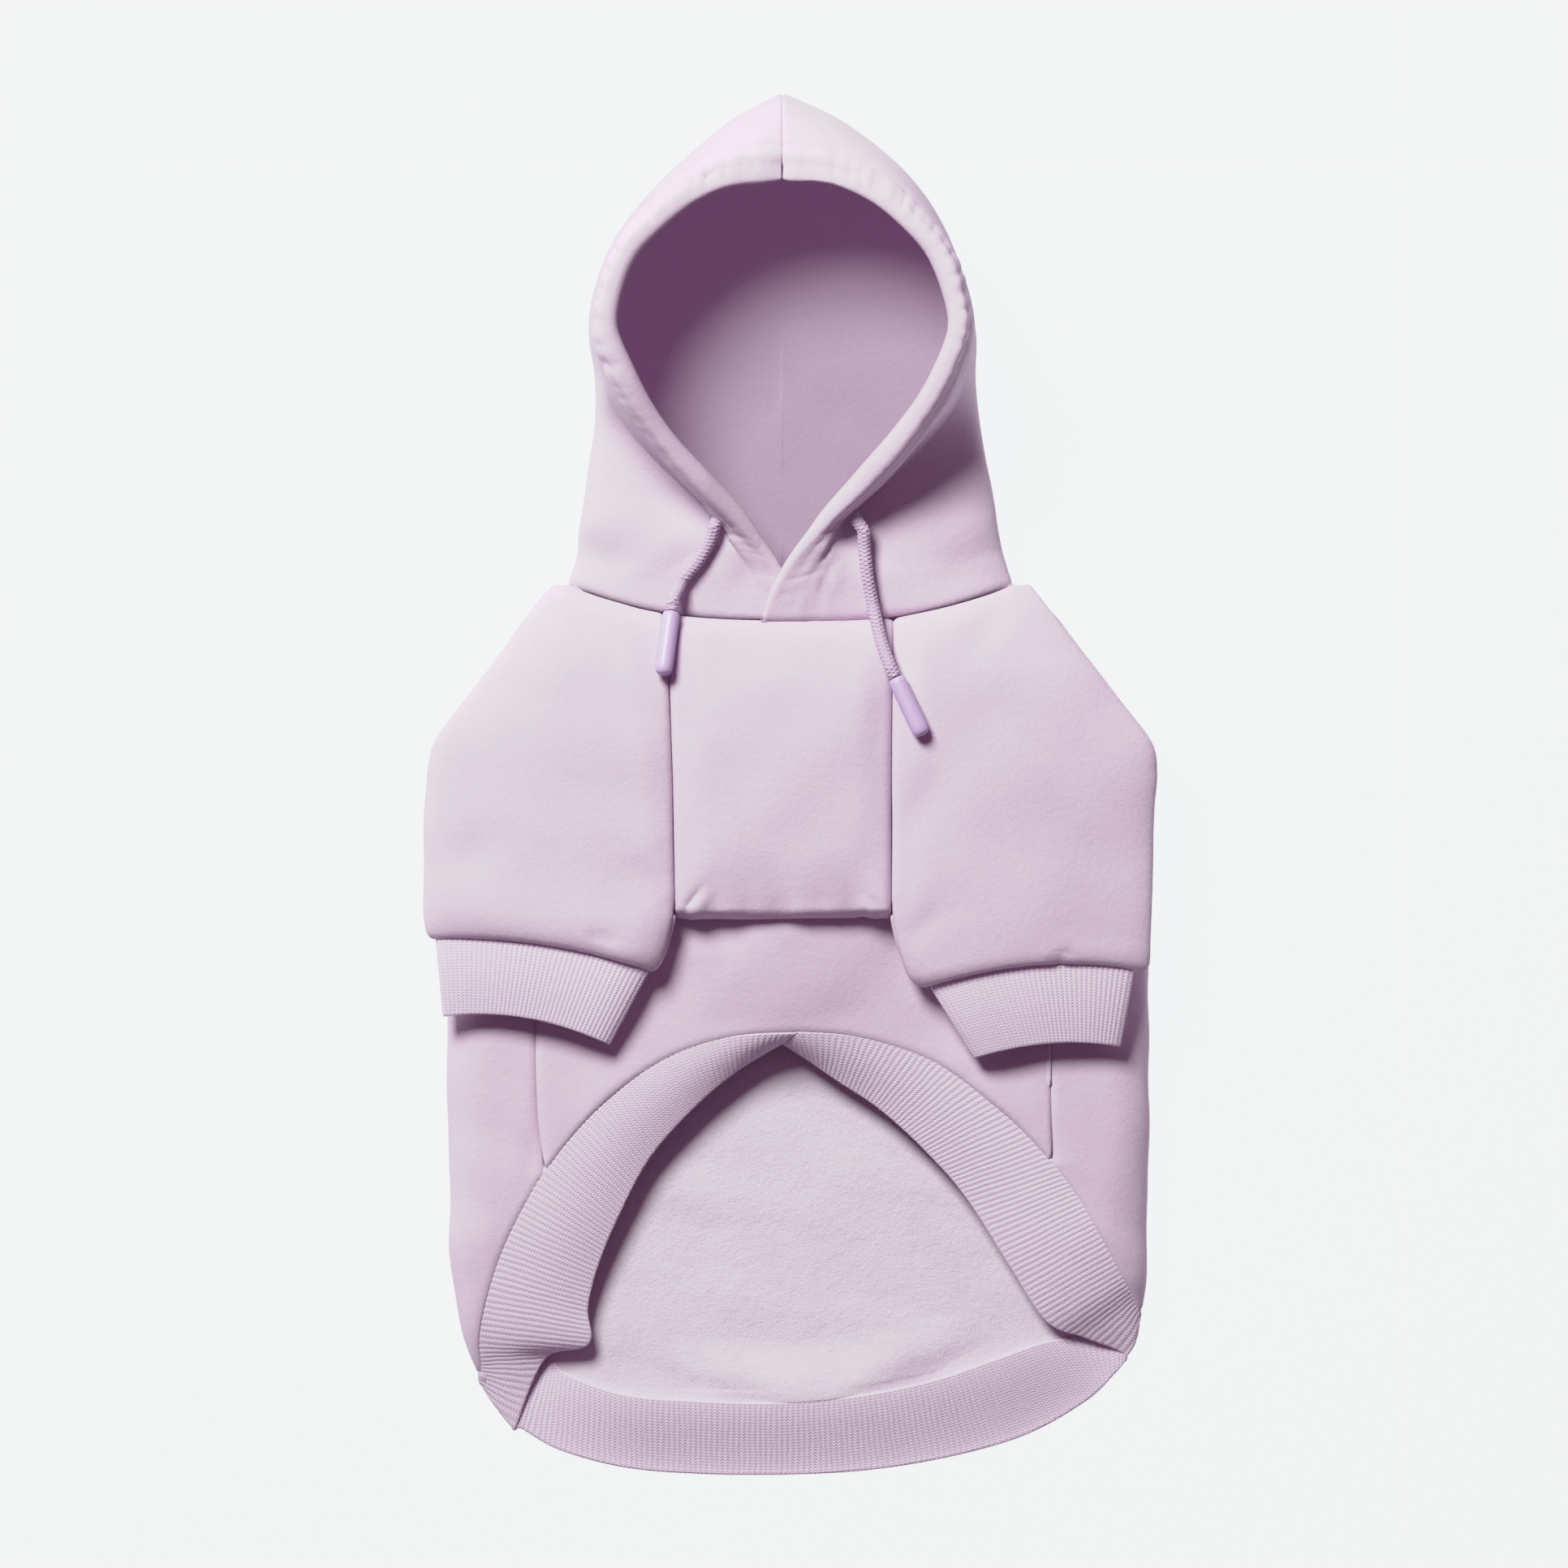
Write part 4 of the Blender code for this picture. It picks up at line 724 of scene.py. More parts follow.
def wall_mesh(name, grid, out, thickness, rounded, closed=None, run=None):
    """A closed wall round a grid of points, with rounded edges. Rows marked closed are joined into rings.

    rounded holds, for each point, its distance to the nearest free edge. Every point keeps the way out of the
    cloth, for ribs, and the faces have a UV map in metres.
    """
    radius = thickness / 2
    share = np.clip(rounded / radius, 0.0, 1.0)
    half = (radius * np.sqrt(np.maximum(0.0, 1 - (1 - share) ** 2)))[:, :, None]
    rows, columns = grid.shape[:2]
    outer = np.arange(rows * columns).reshape(rows, columns)
    inner = outer + rows * columns
    if closed is not None:
        outer[closed, -1] = outer[closed, 0]
        inner[closed, -1] = inner[closed, 0]
    points = np.concatenate(((grid + out * half).reshape(-1, 3), (grid - out * half).reshape(-1, 3)))
    across, down = along_lines(grid), along_lines(np.swapaxes(grid, 0, 1)).T
    places = np.stack((across if run is None else run, down if run is None else across), axis=2)
    faces = np.concatenate((four_corners(outer), four_corners(inner)[:, ::-1]))
    plain = four_corners(np.arange(rows * columns).reshape(rows, columns))
    where = np.concatenate((plain, plain[:, ::-1]))
    mesh = bpy.data.meshes.new(name)
    mesh.from_pydata((points + SHOULDER_LINE).tolist(), [], faces.tolist())
    lining = np.concatenate((np.zeros(len(plain), int), np.ones(len(plain), int)))
    mesh.polygons.foreach_set("material_index", lining)
    uv = mesh.uv_layers.new(name="cloth")
    uv.data.foreach_set("uv", places.reshape(-1, 2)[where].reshape(-1).astype(float))
    keep_values(mesh, "out", np.concatenate((out.reshape(-1, 3),) * 2))
    if run is not None:
        ribbing = ease((rounded - 0.0002) / RIB_FADE) * (1 - RIB_LEAST) + RIB_LEAST
        for label, values in (("run", run), ("ribbing", ribbing)):
            keep_values(mesh, label, np.concatenate((values.reshape(-1),) * 2))
    wall = bmesh.new()
    wall.from_mesh(mesh)
    bmesh.ops.remove_doubles(wall, verts=wall.verts, dist=1e-6)
    bmesh.ops.dissolve_degenerate(wall, edges=wall.edges, dist=1e-7)
    loose = [vertex for vertex in wall.verts if not vertex.link_faces]
    bmesh.ops.delete(wall, geom=loose, context="VERTS")
    open_edges = [edge for edge in wall.edges if edge.is_boundary]
    if open_edges:
        bmesh.ops.holes_fill(wall, edges=open_edges, sides=0)
    bmesh.ops.recalc_face_normals(wall, faces=wall.faces)
    wall.to_mesh(mesh)
    wall.free()
    mesh.shade_smooth()
    return placed(name, mesh)


def sewn_piece(name, grid, outward, seams, free=(), closed=None, relief=None, seed=1, creased=1.0, full=None):
    """A piece of fleece. seams maps an edge to how strongly it turns in, and free names the open edges.

    creased says where the piece takes its creases, and full how much of the cloth's thickness each place has.
    """
    distance = edge_distances(grid)
    out = normals(grid, outward, closed)
    raised = crease_relief(name, grid) * creased
    raised = raised + soft_waves(grid, seed) * ease(distance_to(distance, seams) / 0.012)
    if relief is not None:
        raised = raised + relief
    for edge, strength in seams.items():
        raised = raised - strength * seam_turn(distance[edge])
    grid = grid + out * raised[:, :, None]
    grid[:, :, 2] = np.maximum(grid[:, :, 2], CLOTH / 2)
    out = normals(grid, outward, closed)
    ends = [*seams, *free]
    rounded = distance_to(edge_distances(grid), ends)
    if closed is not None:
        far = distance_to(edge_distances(grid), [edge for edge in ends if edge in ("top", "bottom")])
        rounded = np.where(closed[:, None], far, rounded)
    if full is not None:
        rounded = rounded * full
    obj = wall_mesh(name, grid, out, CLOTH, rounded, closed)
    obj.data.materials.append(material("fleece"))
    # The hood's inner faces take a darker colour that glows faintly: painted shade and painted light inside
    # the hood
    obj.data.materials.append(material("hood_inside_painted_shade_and_glow" if name.startswith("hood") else "fleece_inside"))
    return obj


def distance_to(distance, edges):
    """How far each point lies from the nearest of these edges."""
    found = [distance[edge] for edge in edges]
    return np.minimum.reduce(found) if found else np.full_like(distance["top"], 1.0)


# Body


def back_half(side, edge, bed_row=None, weight=0.0):
    """Half a row of the back panel: from its edge on top round the side fold to the bed."""
    y = edge[1]
    fold = np.array((fold_x(side, y), y, CLOTH / 2 + FOLD_LEVEL * (body_level(1.0, y) - CLOTH / 2)))
    fold[0] = side * max(abs(fold[0]), abs(edge[0]))
    level_part = TOP_LEVEL_SHARE * (abs(fold[0]) - abs(edge[0]))
    turn = np.array((side * max(abs(fold[0]) - BODY_TURN, abs(edge[0]) + level_part), y, edge[2]))
    bed = np.array((fold[0] - side * BODY_TURN, y, CLOTH / 2))
    top = [np.array(edge, float), *straight(edge, turn, 2), *level_to_plumb(turn, fold, 3)]
    under = plumb_to_level(fold, bed, 3)
    if bed_row is not None:
        under = [point + (end - point) * weight for point, end in zip(under, bed_row)]
    return [*top, *under]


def join_halves(halves):
    """One row from the left half, the bed between them and the right half."""
    middle = straight(halves[0][-1], halves[1][-1], 17)
    return [*halves[0], *middle[:-1], *reversed(halves[1])]


def side_gap(x):
    """Half a seam's gap, taken off on the side away from the middle of the body."""
    return -math.copysign(SEAM_GAP / 2, x)


def hem_row(count):
    """The back panel's last row, which follows the hem seam round the back from side fold to side fold."""
    top, under = 5 * FINE, 3 * FINE
    places = [HEM_LEFT_FOLD] * (top + 1)
    left_bed, right_bed = HEM_LEFT_FOLD + 1.7, HEM_RIGHT_FOLD - 1.7
    places += list(np.linspace(HEM_LEFT_FOLD, left_bed, under + 1)[1:])
    middle = count - 2 * (top + under + 1)
    places += list(hem_places(left_bed, right_bed, middle + 2)[1:-1])
    places += list(np.linspace(right_bed, HEM_RIGHT_FOLD, under + 1)[:-1])
    places += [HEM_RIGHT_FOLD] * (top + 1)
    eased = []
    for at in places:
        near = max(0.0, 1 - min(abs(at - HEM_LEFT_FOLD), abs(at - HEM_RIGHT_FOLD)) / 0.8)
        point = hem_point(at)
        point += near * FOLD_EASE * np.array((-np.sign(point[0]), 0.5, -0.5))
        eased.append(np.maximum(point, (-1, -1, CLOTH / 2)))
    return eased


def back_panel():
    """The back: flat on its bed, folded up at both sides, with its scooped lower edge on the hem band."""
    rows = []
    last = BACK_EDGE[-1][0]
    for share in np.linspace(0.0, last, 60):
        y = -share * BODY_LENGTH - SEAM_GAP / 2 * ease(1 - share / 0.1)
        halves = []
        for side in (LEFT, RIGHT):
            x = edge_x(side, -share * BODY_LENGTH)
            halves.append(back_half(side, np.array((x - side_gap(x), y, body_level(1.0, y)))))
        rows.append(join_halves(halves))
    final = hem_row(len(rows[-1]))
    count = len(halves[0])
    hem_rows = 64
    left_places = hem_places(HEM_LEFT_CORNER, HEM_LEFT_FOLD, hem_rows)
    right_places = hem_places(HEM_RIGHT_CORNER, HEM_RIGHT_FOLD, hem_rows)
    for k in range(1, hem_rows):
        weight = (k / (hem_rows - 1)) ** 2.2
        ends = hem_point(left_places[k]), hem_point(right_places[k])
        left = back_half(LEFT, ends[0], final[count - 3 * FINE : count], weight)
        right = back_half(RIGHT, ends[1], final[-count : -count + 3 * FINE][::-1], weight)
        row = join_halves((left, right))
        for c in range(count, len(row) - count):
            row[c] = row[c] + (final[c] - row[c]) * weight
        rows.append(row if k < hem_rows - 1 else final)
    grid = edged(rows)
    middle = grid.shape[1] // 2
    distance = edge_distances(grid)
    fading = SIDE_SEAM_SHARE * ease((distance["bottom"] - 0.010) / 0.050)
    seams = {"top": 1.0, "bottom": 0.0, "start": fading, "end": fading}
    far = ease((np.minimum(distance["start"], distance["end"]) - 0.075) / 0.045)
    ridge = -HEM_RIDGE * far * ease(1 - distance["bottom"] / HEM_RIDGE_LENGTH)
    folded = len(EDGE_STEPS) + 5 * FINE
    full = np.ones(grid.shape[:2])
    full[:, :folded] = ease(distance["start"][:, folded : folded + 1] / 0.009)
    full[:, -folded:] = ease(distance["end"][:, -folded - 1 : -folded] / 0.009)
    return sewn_piece("back_panel", grid, (20, middle, (0, 0, -1)), seams, relief=ridge, seed=3, full=full)


def belly_panel():
    """The belly between its two side seams, from under the chest down to the scooped hem seam."""
    columns = 131
    rows = []
    ends = [edge_x(side, belly_top(BODY_WIDTH)) for side in (LEFT, RIGHT)]
    last = len(HEM) - 1
    half = columns // 2
    places = [*hem_places(HEM_LEFT_CORNER, 0, half + 1), *hem_places(last, HEM_RIGHT_CORNER, half + 1)[1:]]
    bottoms = [hem_point(at) for at in places]
    for share in np.linspace(0.0, 1.0, 46):
        row = []
        for c in range(columns):
            across = (bottoms[c][0] - bottoms[0][0]) / (bottoms[-1][0] - bottoms[0][0])
            top_x = ends[0] + (ends[1] - ends[0]) * across
            top_y = belly_top(top_x)
            y = top_y + (bottoms[c][1] - top_y) * share
            x = top_x + (bottoms[c][0] - top_x) * share
            if c in (0, columns - 1):
                x = edge_x(LEFT if c == 0 else RIGHT, y)
                x += side_gap(x)
            row.append(np.array((x, y, body_level(x, y))))
        rows.append(row)
    grid = edged(rows)
    fading = SIDE_SEAM_SHARE * ease(edge_distances(grid)["bottom"] / 0.010)
    seams = {"bottom": 1.0, "start": fading, "end": fading}
    return sewn_piece("belly_panel", grid, (20, 60, (0, 0, 1)), seams, ("top",), seed=5)


def rib_ends(at):
    """Where a rib of the hem band starts on the seam edge and ends on the free edge."""
    slant = np.array(RIB_SLANT)
    return hem_point(at + np.interp(at, slant[:, 0], slant[:, 1])), hem_point(at, free=True)


def hem_band():
    """The ribbed band round the whole lower opening, one strip whose ends meet in the notch at the belly."""
    fine = np.linspace(0, len(HEM) - 1, HEM_FINE)
    middles = np.array([(seam + free) / 2 for seam, free in (rib_ends(at) for at in fine)])
    along = np.concatenate(([0], np.cumsum(np.linalg.norm(np.diff(middles, axis=0), axis=1))))
    steps = int(round(along[-1] / HEM_RIB_PITCH)) * RIB_SAMPLES
    rows = []
    for at in np.interp(np.linspace(0, along[-1], steps + 1), along, fine):
        seam, free = rib_ends(at)
        near = max(0.0, 1 - min(abs(at - HEM_LEFT_FOLD), abs(at - HEM_RIGHT_FOLD)) / 0.9)
        start = seam - (free - seam) / np.linalg.norm(free - seam) * HEM_TUCK * (1 + 0.8 * near)
        start[2] -= HEM_SINK * spline(HEM, at)[2]
        on_bed = ease((at - HEM_LEFT_FOLD - 0.8) / 2.6) * ease((HEM_RIGHT_FOLD - 0.6 - at) / 2.4)
        bow = HEM_BOW * min(1.0, abs(spline(HEM, at)[2]))
        line = []
        for share in np.linspace(0, 1, 13):
            point = start + (free - start) * share
            point[2] += bow * math.sin(math.pi * share) + HEM_RIDGE * on_bed * ease(1 - share)
            bulge = HEM_BULGE * near * math.sin(math.pi * share)
            point[:2] += bulge * np.array((np.sign(point[0]), -0.8))
            point[2] = max(point[2], RIB_CLOTH / 2)
            line.append(point)
        rows.append(line)
    grid = edged(rows, top=False, bottom=False)
    strip = np.linspace(0, steps * HEM_RIB_PITCH / RIB_SAMPLES, steps + 1)
    run = np.repeat(strip[:, None], grid.shape[1], axis=1)
    return ribbed_piece("hem_band", grid, (10, 8, (0, 0, 1)), run, HEM_RIB_PITCH, HEM_RIB_DEPTH)


def ribbed_piece(name, grid, outward, run, pitch, depth, closed=None):
    """A double band of rib knit: a wall whose ribs a node tree raises."""
    out = normals(grid, outward, closed)
    distance = edge_distances(grid)
    rounded = np.minimum(distance["start"], distance["end"])
    if closed is None:
        run = run + RIB_WANDER * sum(np.sin(grid[:, :, 0] * a + grid[:, :, 1] * b) for a, b in RIB_WAVES)
        rounded = np.minimum(rounded, np.minimum(distance["top"], distance["bottom"]))
    flat = wall_mesh(name + "_flat", grid, out, RIB_WALL, rounded, None, run)
    if closed is not None:
        # The first and last row of points meet
        turn_out(flat.data, merge=2e-6)
    sizes = {"Rib pitch": pitch, "Rib depth": depth, "Material": material("rib_knit")}
    return grown(name, flat, rib_tree(), sizes)


# Chest and sleeves


def sleeve_anchors(side, at):
    """The named points of a sleeve's section, counted in rows of SLEEVES."""
    row = spline(SLEEVES[side], at)
    closed = at <= 3.0
    crest = NECK_HEIGHT + (TORSO_HEIGHT - NECK_HEIGHT) * row[6] - CLOTH / 2
    seam = np.array((side * row[0] * CHEST_WIDTH / 2, -row[1] * BODY_LENGTH, crest))
    shoulder = NECK_WIDTH / 2 + SHOULDER_STEP
    widest = BODY_WIDTH / 2 + SLEEVE_OVERHANG
    out = np.array((side * (shoulder + (widest - shoulder) * row[2]), -row[3] * BODY_LENGTH, crest))
    bed = CLOTH + LAYER_GAP
    out_bed = body_level(1.0, out[1]) + bed
    seam_bed = body_level(seam[0], seam[1]) + bed
    flat_seam = crest - SEAM_VALLEY * min(1.0, row[6])
    seam[2] = flat_seam + ((crest + seam_bed) / 2 - flat_seam) * row[7]
    out[2] = (crest + out_bed) / 2
    if closed:
        edge = seam.copy()
    else:
        edge = np.array((side * row[4] * BODY_WIDTH / 2, -row[5] * BODY_LENGTH, 0.0))
        edge[2] = body_level(edge[0], edge[1]) + bed
    return {
        "seam": seam,
        "out": out,
        "edge": edge,
        "crest": crest,
        "out_bed": out_bed,
        "seam_bed": seam_bed,
        "fold": row[7],
        "bow": row[8] * BODY_LENGTH,
        "closed": closed,
        "neck": max(0.0, 1 - (len(SLEEVES[side]) - 1 - at) / 2.0),
    }


def sleeve_section(side, at):
    """A row of a sleeve: from its front seam over the top, round the outer fold and under to the armhole."""
    if 3.0 < at < 4.0:
        shut, opened = sleeve_section(side, 3.0), sleeve_section(side, 4.0)
        return [one + (other - one) * (at - 3.0) for one, other in zip(shut, opened)]
    anchors = sleeve_anchors(side, at)
    seam, out, crest = anchors["seam"], anchors["out"], anchors["crest"]
    top = at_height(toward(seam, out, SEAM_PUFF), crest)
    under = seam if anchors["closed"] else anchors["edge"]
    bed = at_height(toward(out, under, SLEEVE_TURN), anchors["out_bed"])
    points = [seam]
    for share in np.linspace(0, 1, 2 * FINE + 1)[1:]:
        round_fold = 1 - math.cos(math.pi / 2 * share)
        along = share + (round_fold - share) * anchors["fold"]
        points.append(seam + (top - seam) * np.array((along, along, math.sin(math.pi / 2 * share))))
    points += level_to_plumb(top, out, 6, 2.3)
    points += plumb_to_level(out, bed, 3)
    if anchors["closed"]:
        inner = at_height(toward(seam, out, SLEEVE_TURN * 0.8), anchors["seam_bed"])
        points += straight(bed, inner, 3)
        points += level_to_plumb(inner, seam, 2)
    else:
        points += straight(bed, anchors["edge"], 5)
    return bend_row(points, anchors)


def bend_row(points, anchors):
    """Bows a sleeve's row towards the hood, and lays its upper half along the neckline at the top."""
    bent = []
    seam, out = anchors["seam"], anchors["out"]
    for i, point in enumerate(points):
        point = np.array(point, float)
        across = (point[0] - seam[0]) / (out[0] - seam[0])
        across = min(max(across, 0.0), 1.0)
        point[1] += anchors["bow"] * 4 * across * (1 - across)
        if anchors["neck"] > 0 and i <= 8 * FINE:
            line = seam[1] + (out[1] - seam[1]) * across
            drop = neckline_y(point[0]) - SEAM_GAP / 2
            point[1] += anchors["neck"] ** 2 * (drop - line)
        bent.append(point)
    return bent


def sleeve(side, name):
    """A raglan sleeve: a flat tube up to the armpit, then open underneath along the armhole."""
    last = len(SLEEVES[side]) - 1
    places = np.array([*np.linspace(0, 3, 46), *np.linspace(3.06, 3.94, 12), *np.linspace(4, last, 90)])
    rows = []
    for at in places:
        row = sleeve_section(side, at)
        inset = CLOSED_INSET + (SEAM_GAP / 2 - CLOSED_INSET) * ease(at - 3.0)
        row[0] = row[0] + np.array((side * inset, 0, 0))
        if at <= 3.0:
            row[-1] = row[0]
        rows.append(row)
    grid = edged(rows)
    closed = np.linalg.norm(grid[:, 0] - grid[:, -1], axis=1) < 1e-7
    opened = ease((np.cumsum(~closed) / 12))[:, None]
    seams = {"top": 1.0, "bottom": 1.0, "start": opened}
    outward = (60, 8 * FINE // 2, (0, 0, 1))
    return sewn_piece(name, grid, outward, seams, ("end",), closed, seed=11 + side)


def chest_panel():
    """The front between the sleeves. Its lower edge rolls over and stands on the belly."""
    rows = []
    columns = 84
    lowest = -chest_bottom()
    last = len(SLEEVES[LEFT]) - 1
    places = [*(3.0 + np.linspace(0, 1, 34)[:-1] ** 1.8), *np.linspace(4.0, last, 84)]
    for at in places:
        left, right = sleeve_anchors(LEFT, at), sleeve_anchors(RIGHT, at)
        start, end = left["seam"], right["seam"]
        crest = left["crest"]
        row = []
        for c in range(columns + 1):
            share = c / columns
            point = start + (end - start) * share
            point[0] += SEAM_GAP / 2 * (1 - 2 * share)
            valley = crest - SEAM_VALLEY * (1 - left["neck"])
            edge = min(share, 1 - share) * abs(end[0] - start[0])
            puff = math.sin(math.pi / 2 * min(1.0, edge / SEAM_PUFF))
            point[2] = valley + (crest - valley) * puff
            weight = left["neck"] ** 2
            point[1] += weight * (neckline_y(point[0]) - SEAM_GAP / 2 - point[1])
            over = max(0.0, (lowest + CHEST_LEDGE - point[1]) / CHEST_LEDGE)
            foot = body_level(point[0], lowest) + CLOTH / 2 + LAYER_GAP
            near = 1 - min(1.0, (point[1] - lowest) / CHEST_SAG_LENGTH)
            point[2] -= CHEST_SAG * near**2 * ease(edge / 0.016)
            for height, pace in CHEST_RIPPLES:
                point[2] += height * near**3 * math.sin(point[0] * pace)
            point[2] -= (point[2] - foot) * (1 - math.sqrt(max(0.0, 1 - min(over, 1.0) ** 2)))
            row.append(point)
        rows.append(row)
    grid = edged(rows)
    low = edge_distances(grid)["top"]
    seams = {"bottom": 1.0, "start": ease(low / 0.006), "end": ease(low / 0.006)}
    return sewn_piece("chest_panel", grid, (70, 40, (0, 0, 1)), seams, ("top",), seed=9)


def shrunk(loop, distance, tilt):
    """A closed, flattened section made smaller by this distance all round. Its bed rises by tilt along X."""
    loop = np.array(loop)
    bed = loop[:, 0] * tilt
    loop[:, 2] -= bed
    for axis in (0, 2):
        low, high = loop[:, axis].min(), loop[:, axis].max()
        loop[:, axis] = low + distance + (loop[:, axis] - low) * (high - low - 2 * distance) / (high - low)
    loop[:, 2] += bed
    return loop


def cuff(side, name):
    """A ribbed cuff: a flattened tube that starts inside the sleeve's end."""
    inset = CLOTH / 2 + 1.5 * LAYER_GAP + RIB_WALL / 2
    anchors = sleeve_anchors(side, 0.0)
    tilt = (anchors["seam_bed"] - anchors["out_bed"]) / (anchors["seam"][0] - anchors["out"][0])
    seam_loop = shrunk(sleeve_section(side, 0.0)[:-1], inset, tilt)
    inner, outer = seam_loop[0], seam_loop[8 * FINE]
    inner_in, inner_down, outer_in, outer_down = (share * CUFF_LENGTH for share in CUFF_ENDS[side])
    free_inner = inner + np.array((side * inner_in, -inner_down, 0.0))
    free_outer = outer + np.array((-side * outer_in, -outer_down, 0.0))
    rest = LAYER_GAP + RIB_CLOTH / 2 + CLOTH / 2
    low, high = seam_loop[:, 2].min(), seam_loop[:, 2].max()
    free_loop = []
    for point in seam_loop:
        across = (point[0] - inner[0]) / (outer[0] - inner[0])
        up = (point[2] - low) / (high - low)
        straight_y = inner[1] + (outer[1] - inner[1]) * across
        place = free_inner + (free_outer - free_inner) * across
        place[1] += 0.6 * (point[1] - straight_y) + CUFF_BOW[side] * across * (1 - across)
        place[2] = body_level(place[0], place[1]) + rest + up * (CUFF_FREE_HEIGHT - RIB_CLOTH)
        free_loop.append(place)
    seam_loop = np.vstack((seam_loop, seam_loop[:1]))
    free_loop = np.vstack((free_loop, free_loop[:1]))
    for loop, pull in ((seam_loop, CUFF_PULL[side][0]), (free_loop, CUFF_PULL[side][1])):
        across = (loop[:, 0] - loop[0, 0]) / (outer[0] - inner[0])
        loop[:, 0] -= side * pull * np.clip(across, 0, 1) ** 2
    run = along_lines(((seam_loop + free_loop) / 2)[None])[0]
    ribs = int(round(run[-1] / CUFF_RIB_PITCH))
    spots = np.linspace(0, run[-1], ribs * RIB_SAMPLES + 1)
    seam_loop, free_loop = (
        np.stack([np.interp(spots, run, loop[:, axis]) for axis in range(3)], axis=1)
        for loop in (seam_loop, free_loop)
    )
    lines = []
    for share in (-CUFF_TUCK / CUFF_LENGTH, *np.linspace(0, 1, 16)):
        loop = seam_loop + (free_loop - seam_loop) * max(0.0, share)
        loop[:, 1] -= min(0.0, share) * CUFF_LENGTH
        middle = loop.mean(axis=0)
        swell = CUFF_SWELL * math.sin(math.pi * max(0.0, share))
        loop[:, 2] += swell * np.sign(loop[:, 2] - middle[2]) * (loop[:, 2] > middle[2])
        lines.append(loop)
    grid = with_edges(np.swapaxes(np.array(lines), 0, 1))
    ring = np.linspace(0, ribs * CUFF_RIB_PITCH, len(spots))
    run = np.repeat(ring[:, None], grid.shape[1], axis=1)
    outward = (4 * FINE, 8, (0, 0, 1))
    return ribbed_piece(name, grid, outward, run, CUFF_RIB_PITCH, CUFF_RIB_DEPTH, closed=True)


# Hood


def hood_section(side, at):
    """A row of a hood panel: from the facing round the casing, down the wall and under to the middle."""
    row = spline(HOOD, at)
    middle = HOOD_LEAN
    half = HOOD_WIDTH / 2
    start_ease = max(0.0, 1 - at) ** 2
    rim = np.array((middle + side * row[0] * half, row[1] * HOOD_LENGTH, row[2] * HOOD_HEIGHT))
    rim[2] += (NECK_HEIGHT - CLOTH / 2 - rim[2]) * start_ease
    crossing = min(1.0, max(0.0, (4.0 - at) / 1.6))
    rim[2] += side * crossing * CROSS_LIFT
    out = np.array((middle + side * row[3] * half, row[4] * HOOD_LENGTH, 0.0))
    neck = max(0.0, 1 - at / 3.0)
    out[0] += neck * (side * NECK_WIDTH / 2 - (middle + side * HOOD[0][3] * half)) + row[9] * half
    roll = CASING_RADIUS * row[6]
    level = NECK_HEIGHT * row[7] - CLOTH / 2
    out[2] = CLOTH / 2 + FOLD_LEVEL * level
    centre = np.array((middle, row[5] * HOOD_LENGTH, CLOTH / 2))
    bed = at_height(toward(out, centre, HOOD_TURN), CLOTH / 2)
    along = rim_direction(side, at)
    outward = np.array((-along[1], along[0], 0.0)) * -side
    outward /= max(float(np.linalg.norm(outward)), 1e-9)
    away = np.array((out[0] - rim[0], out[1] - rim[1], 0.0))
    away /= max(float(np.linalg.norm(away)), 1e-9)

    # The casing: the wall's cloth rolls over the cord and comes back down inside the wall.
    wall = hood_wall(rim, out, level, row[8], away)
    clear = CLOTH + FACING_GAP
    knee, foot_at = 2 * FINE - 1, 4 * FINE - 1
    collar = float(np.linalg.norm(wall[knee] - rim) + np.linalg.norm(wall[foot_at] - wall[knee]))
    limit = collar + (1 - row[8]) * HOOD_HEIGHT / 2 - clear / 2
    turned = min(2 * roll + clear / 2, 0.7 * limit)
    foot = wall_inside(wall, rim, turned, clear, along, outward)
    tail = wall_inside(wall, rim, min(turned + FACING_LENGTH * row[6] ** 2, limit), clear, along, outward)
    facing = [tail + (foot - tail) * share for share in np.linspace(0, 1, 2 * FINE + 1)[:-1]]
    reach_in, reach_up = outward * roll * 1.7, np.array((0.0, 0.0, roll * 0.5))
    pull_top, pull_foot = rim - outward * roll * 2.1, foot - reach_in + reach_up
    for t in np.linspace(1, 0, 4 * FINE + 1)[:-1]:
        first, last = (1 - t) ** 3 * rim, t**3 * foot
        facing.append(first + 3 * (1 - t) ** 2 * t * pull_top + 3 * (1 - t) * t**2 * pull_foot + last)
    points = [*facing, rim, *wall]
    points += plumb_to_level(out, bed, 3)
    points += straight(bed, centre, 2)
    if start_ease > 0:
        points = [
            lay_on_neckline(point, start_ease, i > len(facing) + len(wall)) for i, point in enumerate(points)
        ]
    return points


def hood_wall(rim, out, level, skirt, outward):
    """The cloth from the rim down to the silhouette: one round wall, or a steep collar on a flatter slope."""
    square = 2.0 + ease((skirt - 0.2) / 0.6)
    direct = level_to_plumb(rim, out, 8, 2.0 + 0.6 * skirt)
    span = float(np.linalg.norm((out - rim)[:2]))
    foot = rim + outward * min(SKIRT_REACH, 0.6 * span)
    foot[2] = min(level, rim[2])
    knee = rim + outward * min(SKIRT_REACH, 0.6 * span) * 0.45
    knee[2] = (rim[2] + foot[2]) / 2
    collar = [*level_to_plumb(rim, knee, 2), *plumb_to_level(knee, foot, 2)]
    collar += level_to_plumb(foot, out, 4, square)
    return [d + (c - d) * skirt for d, c in zip(direct, collar)]


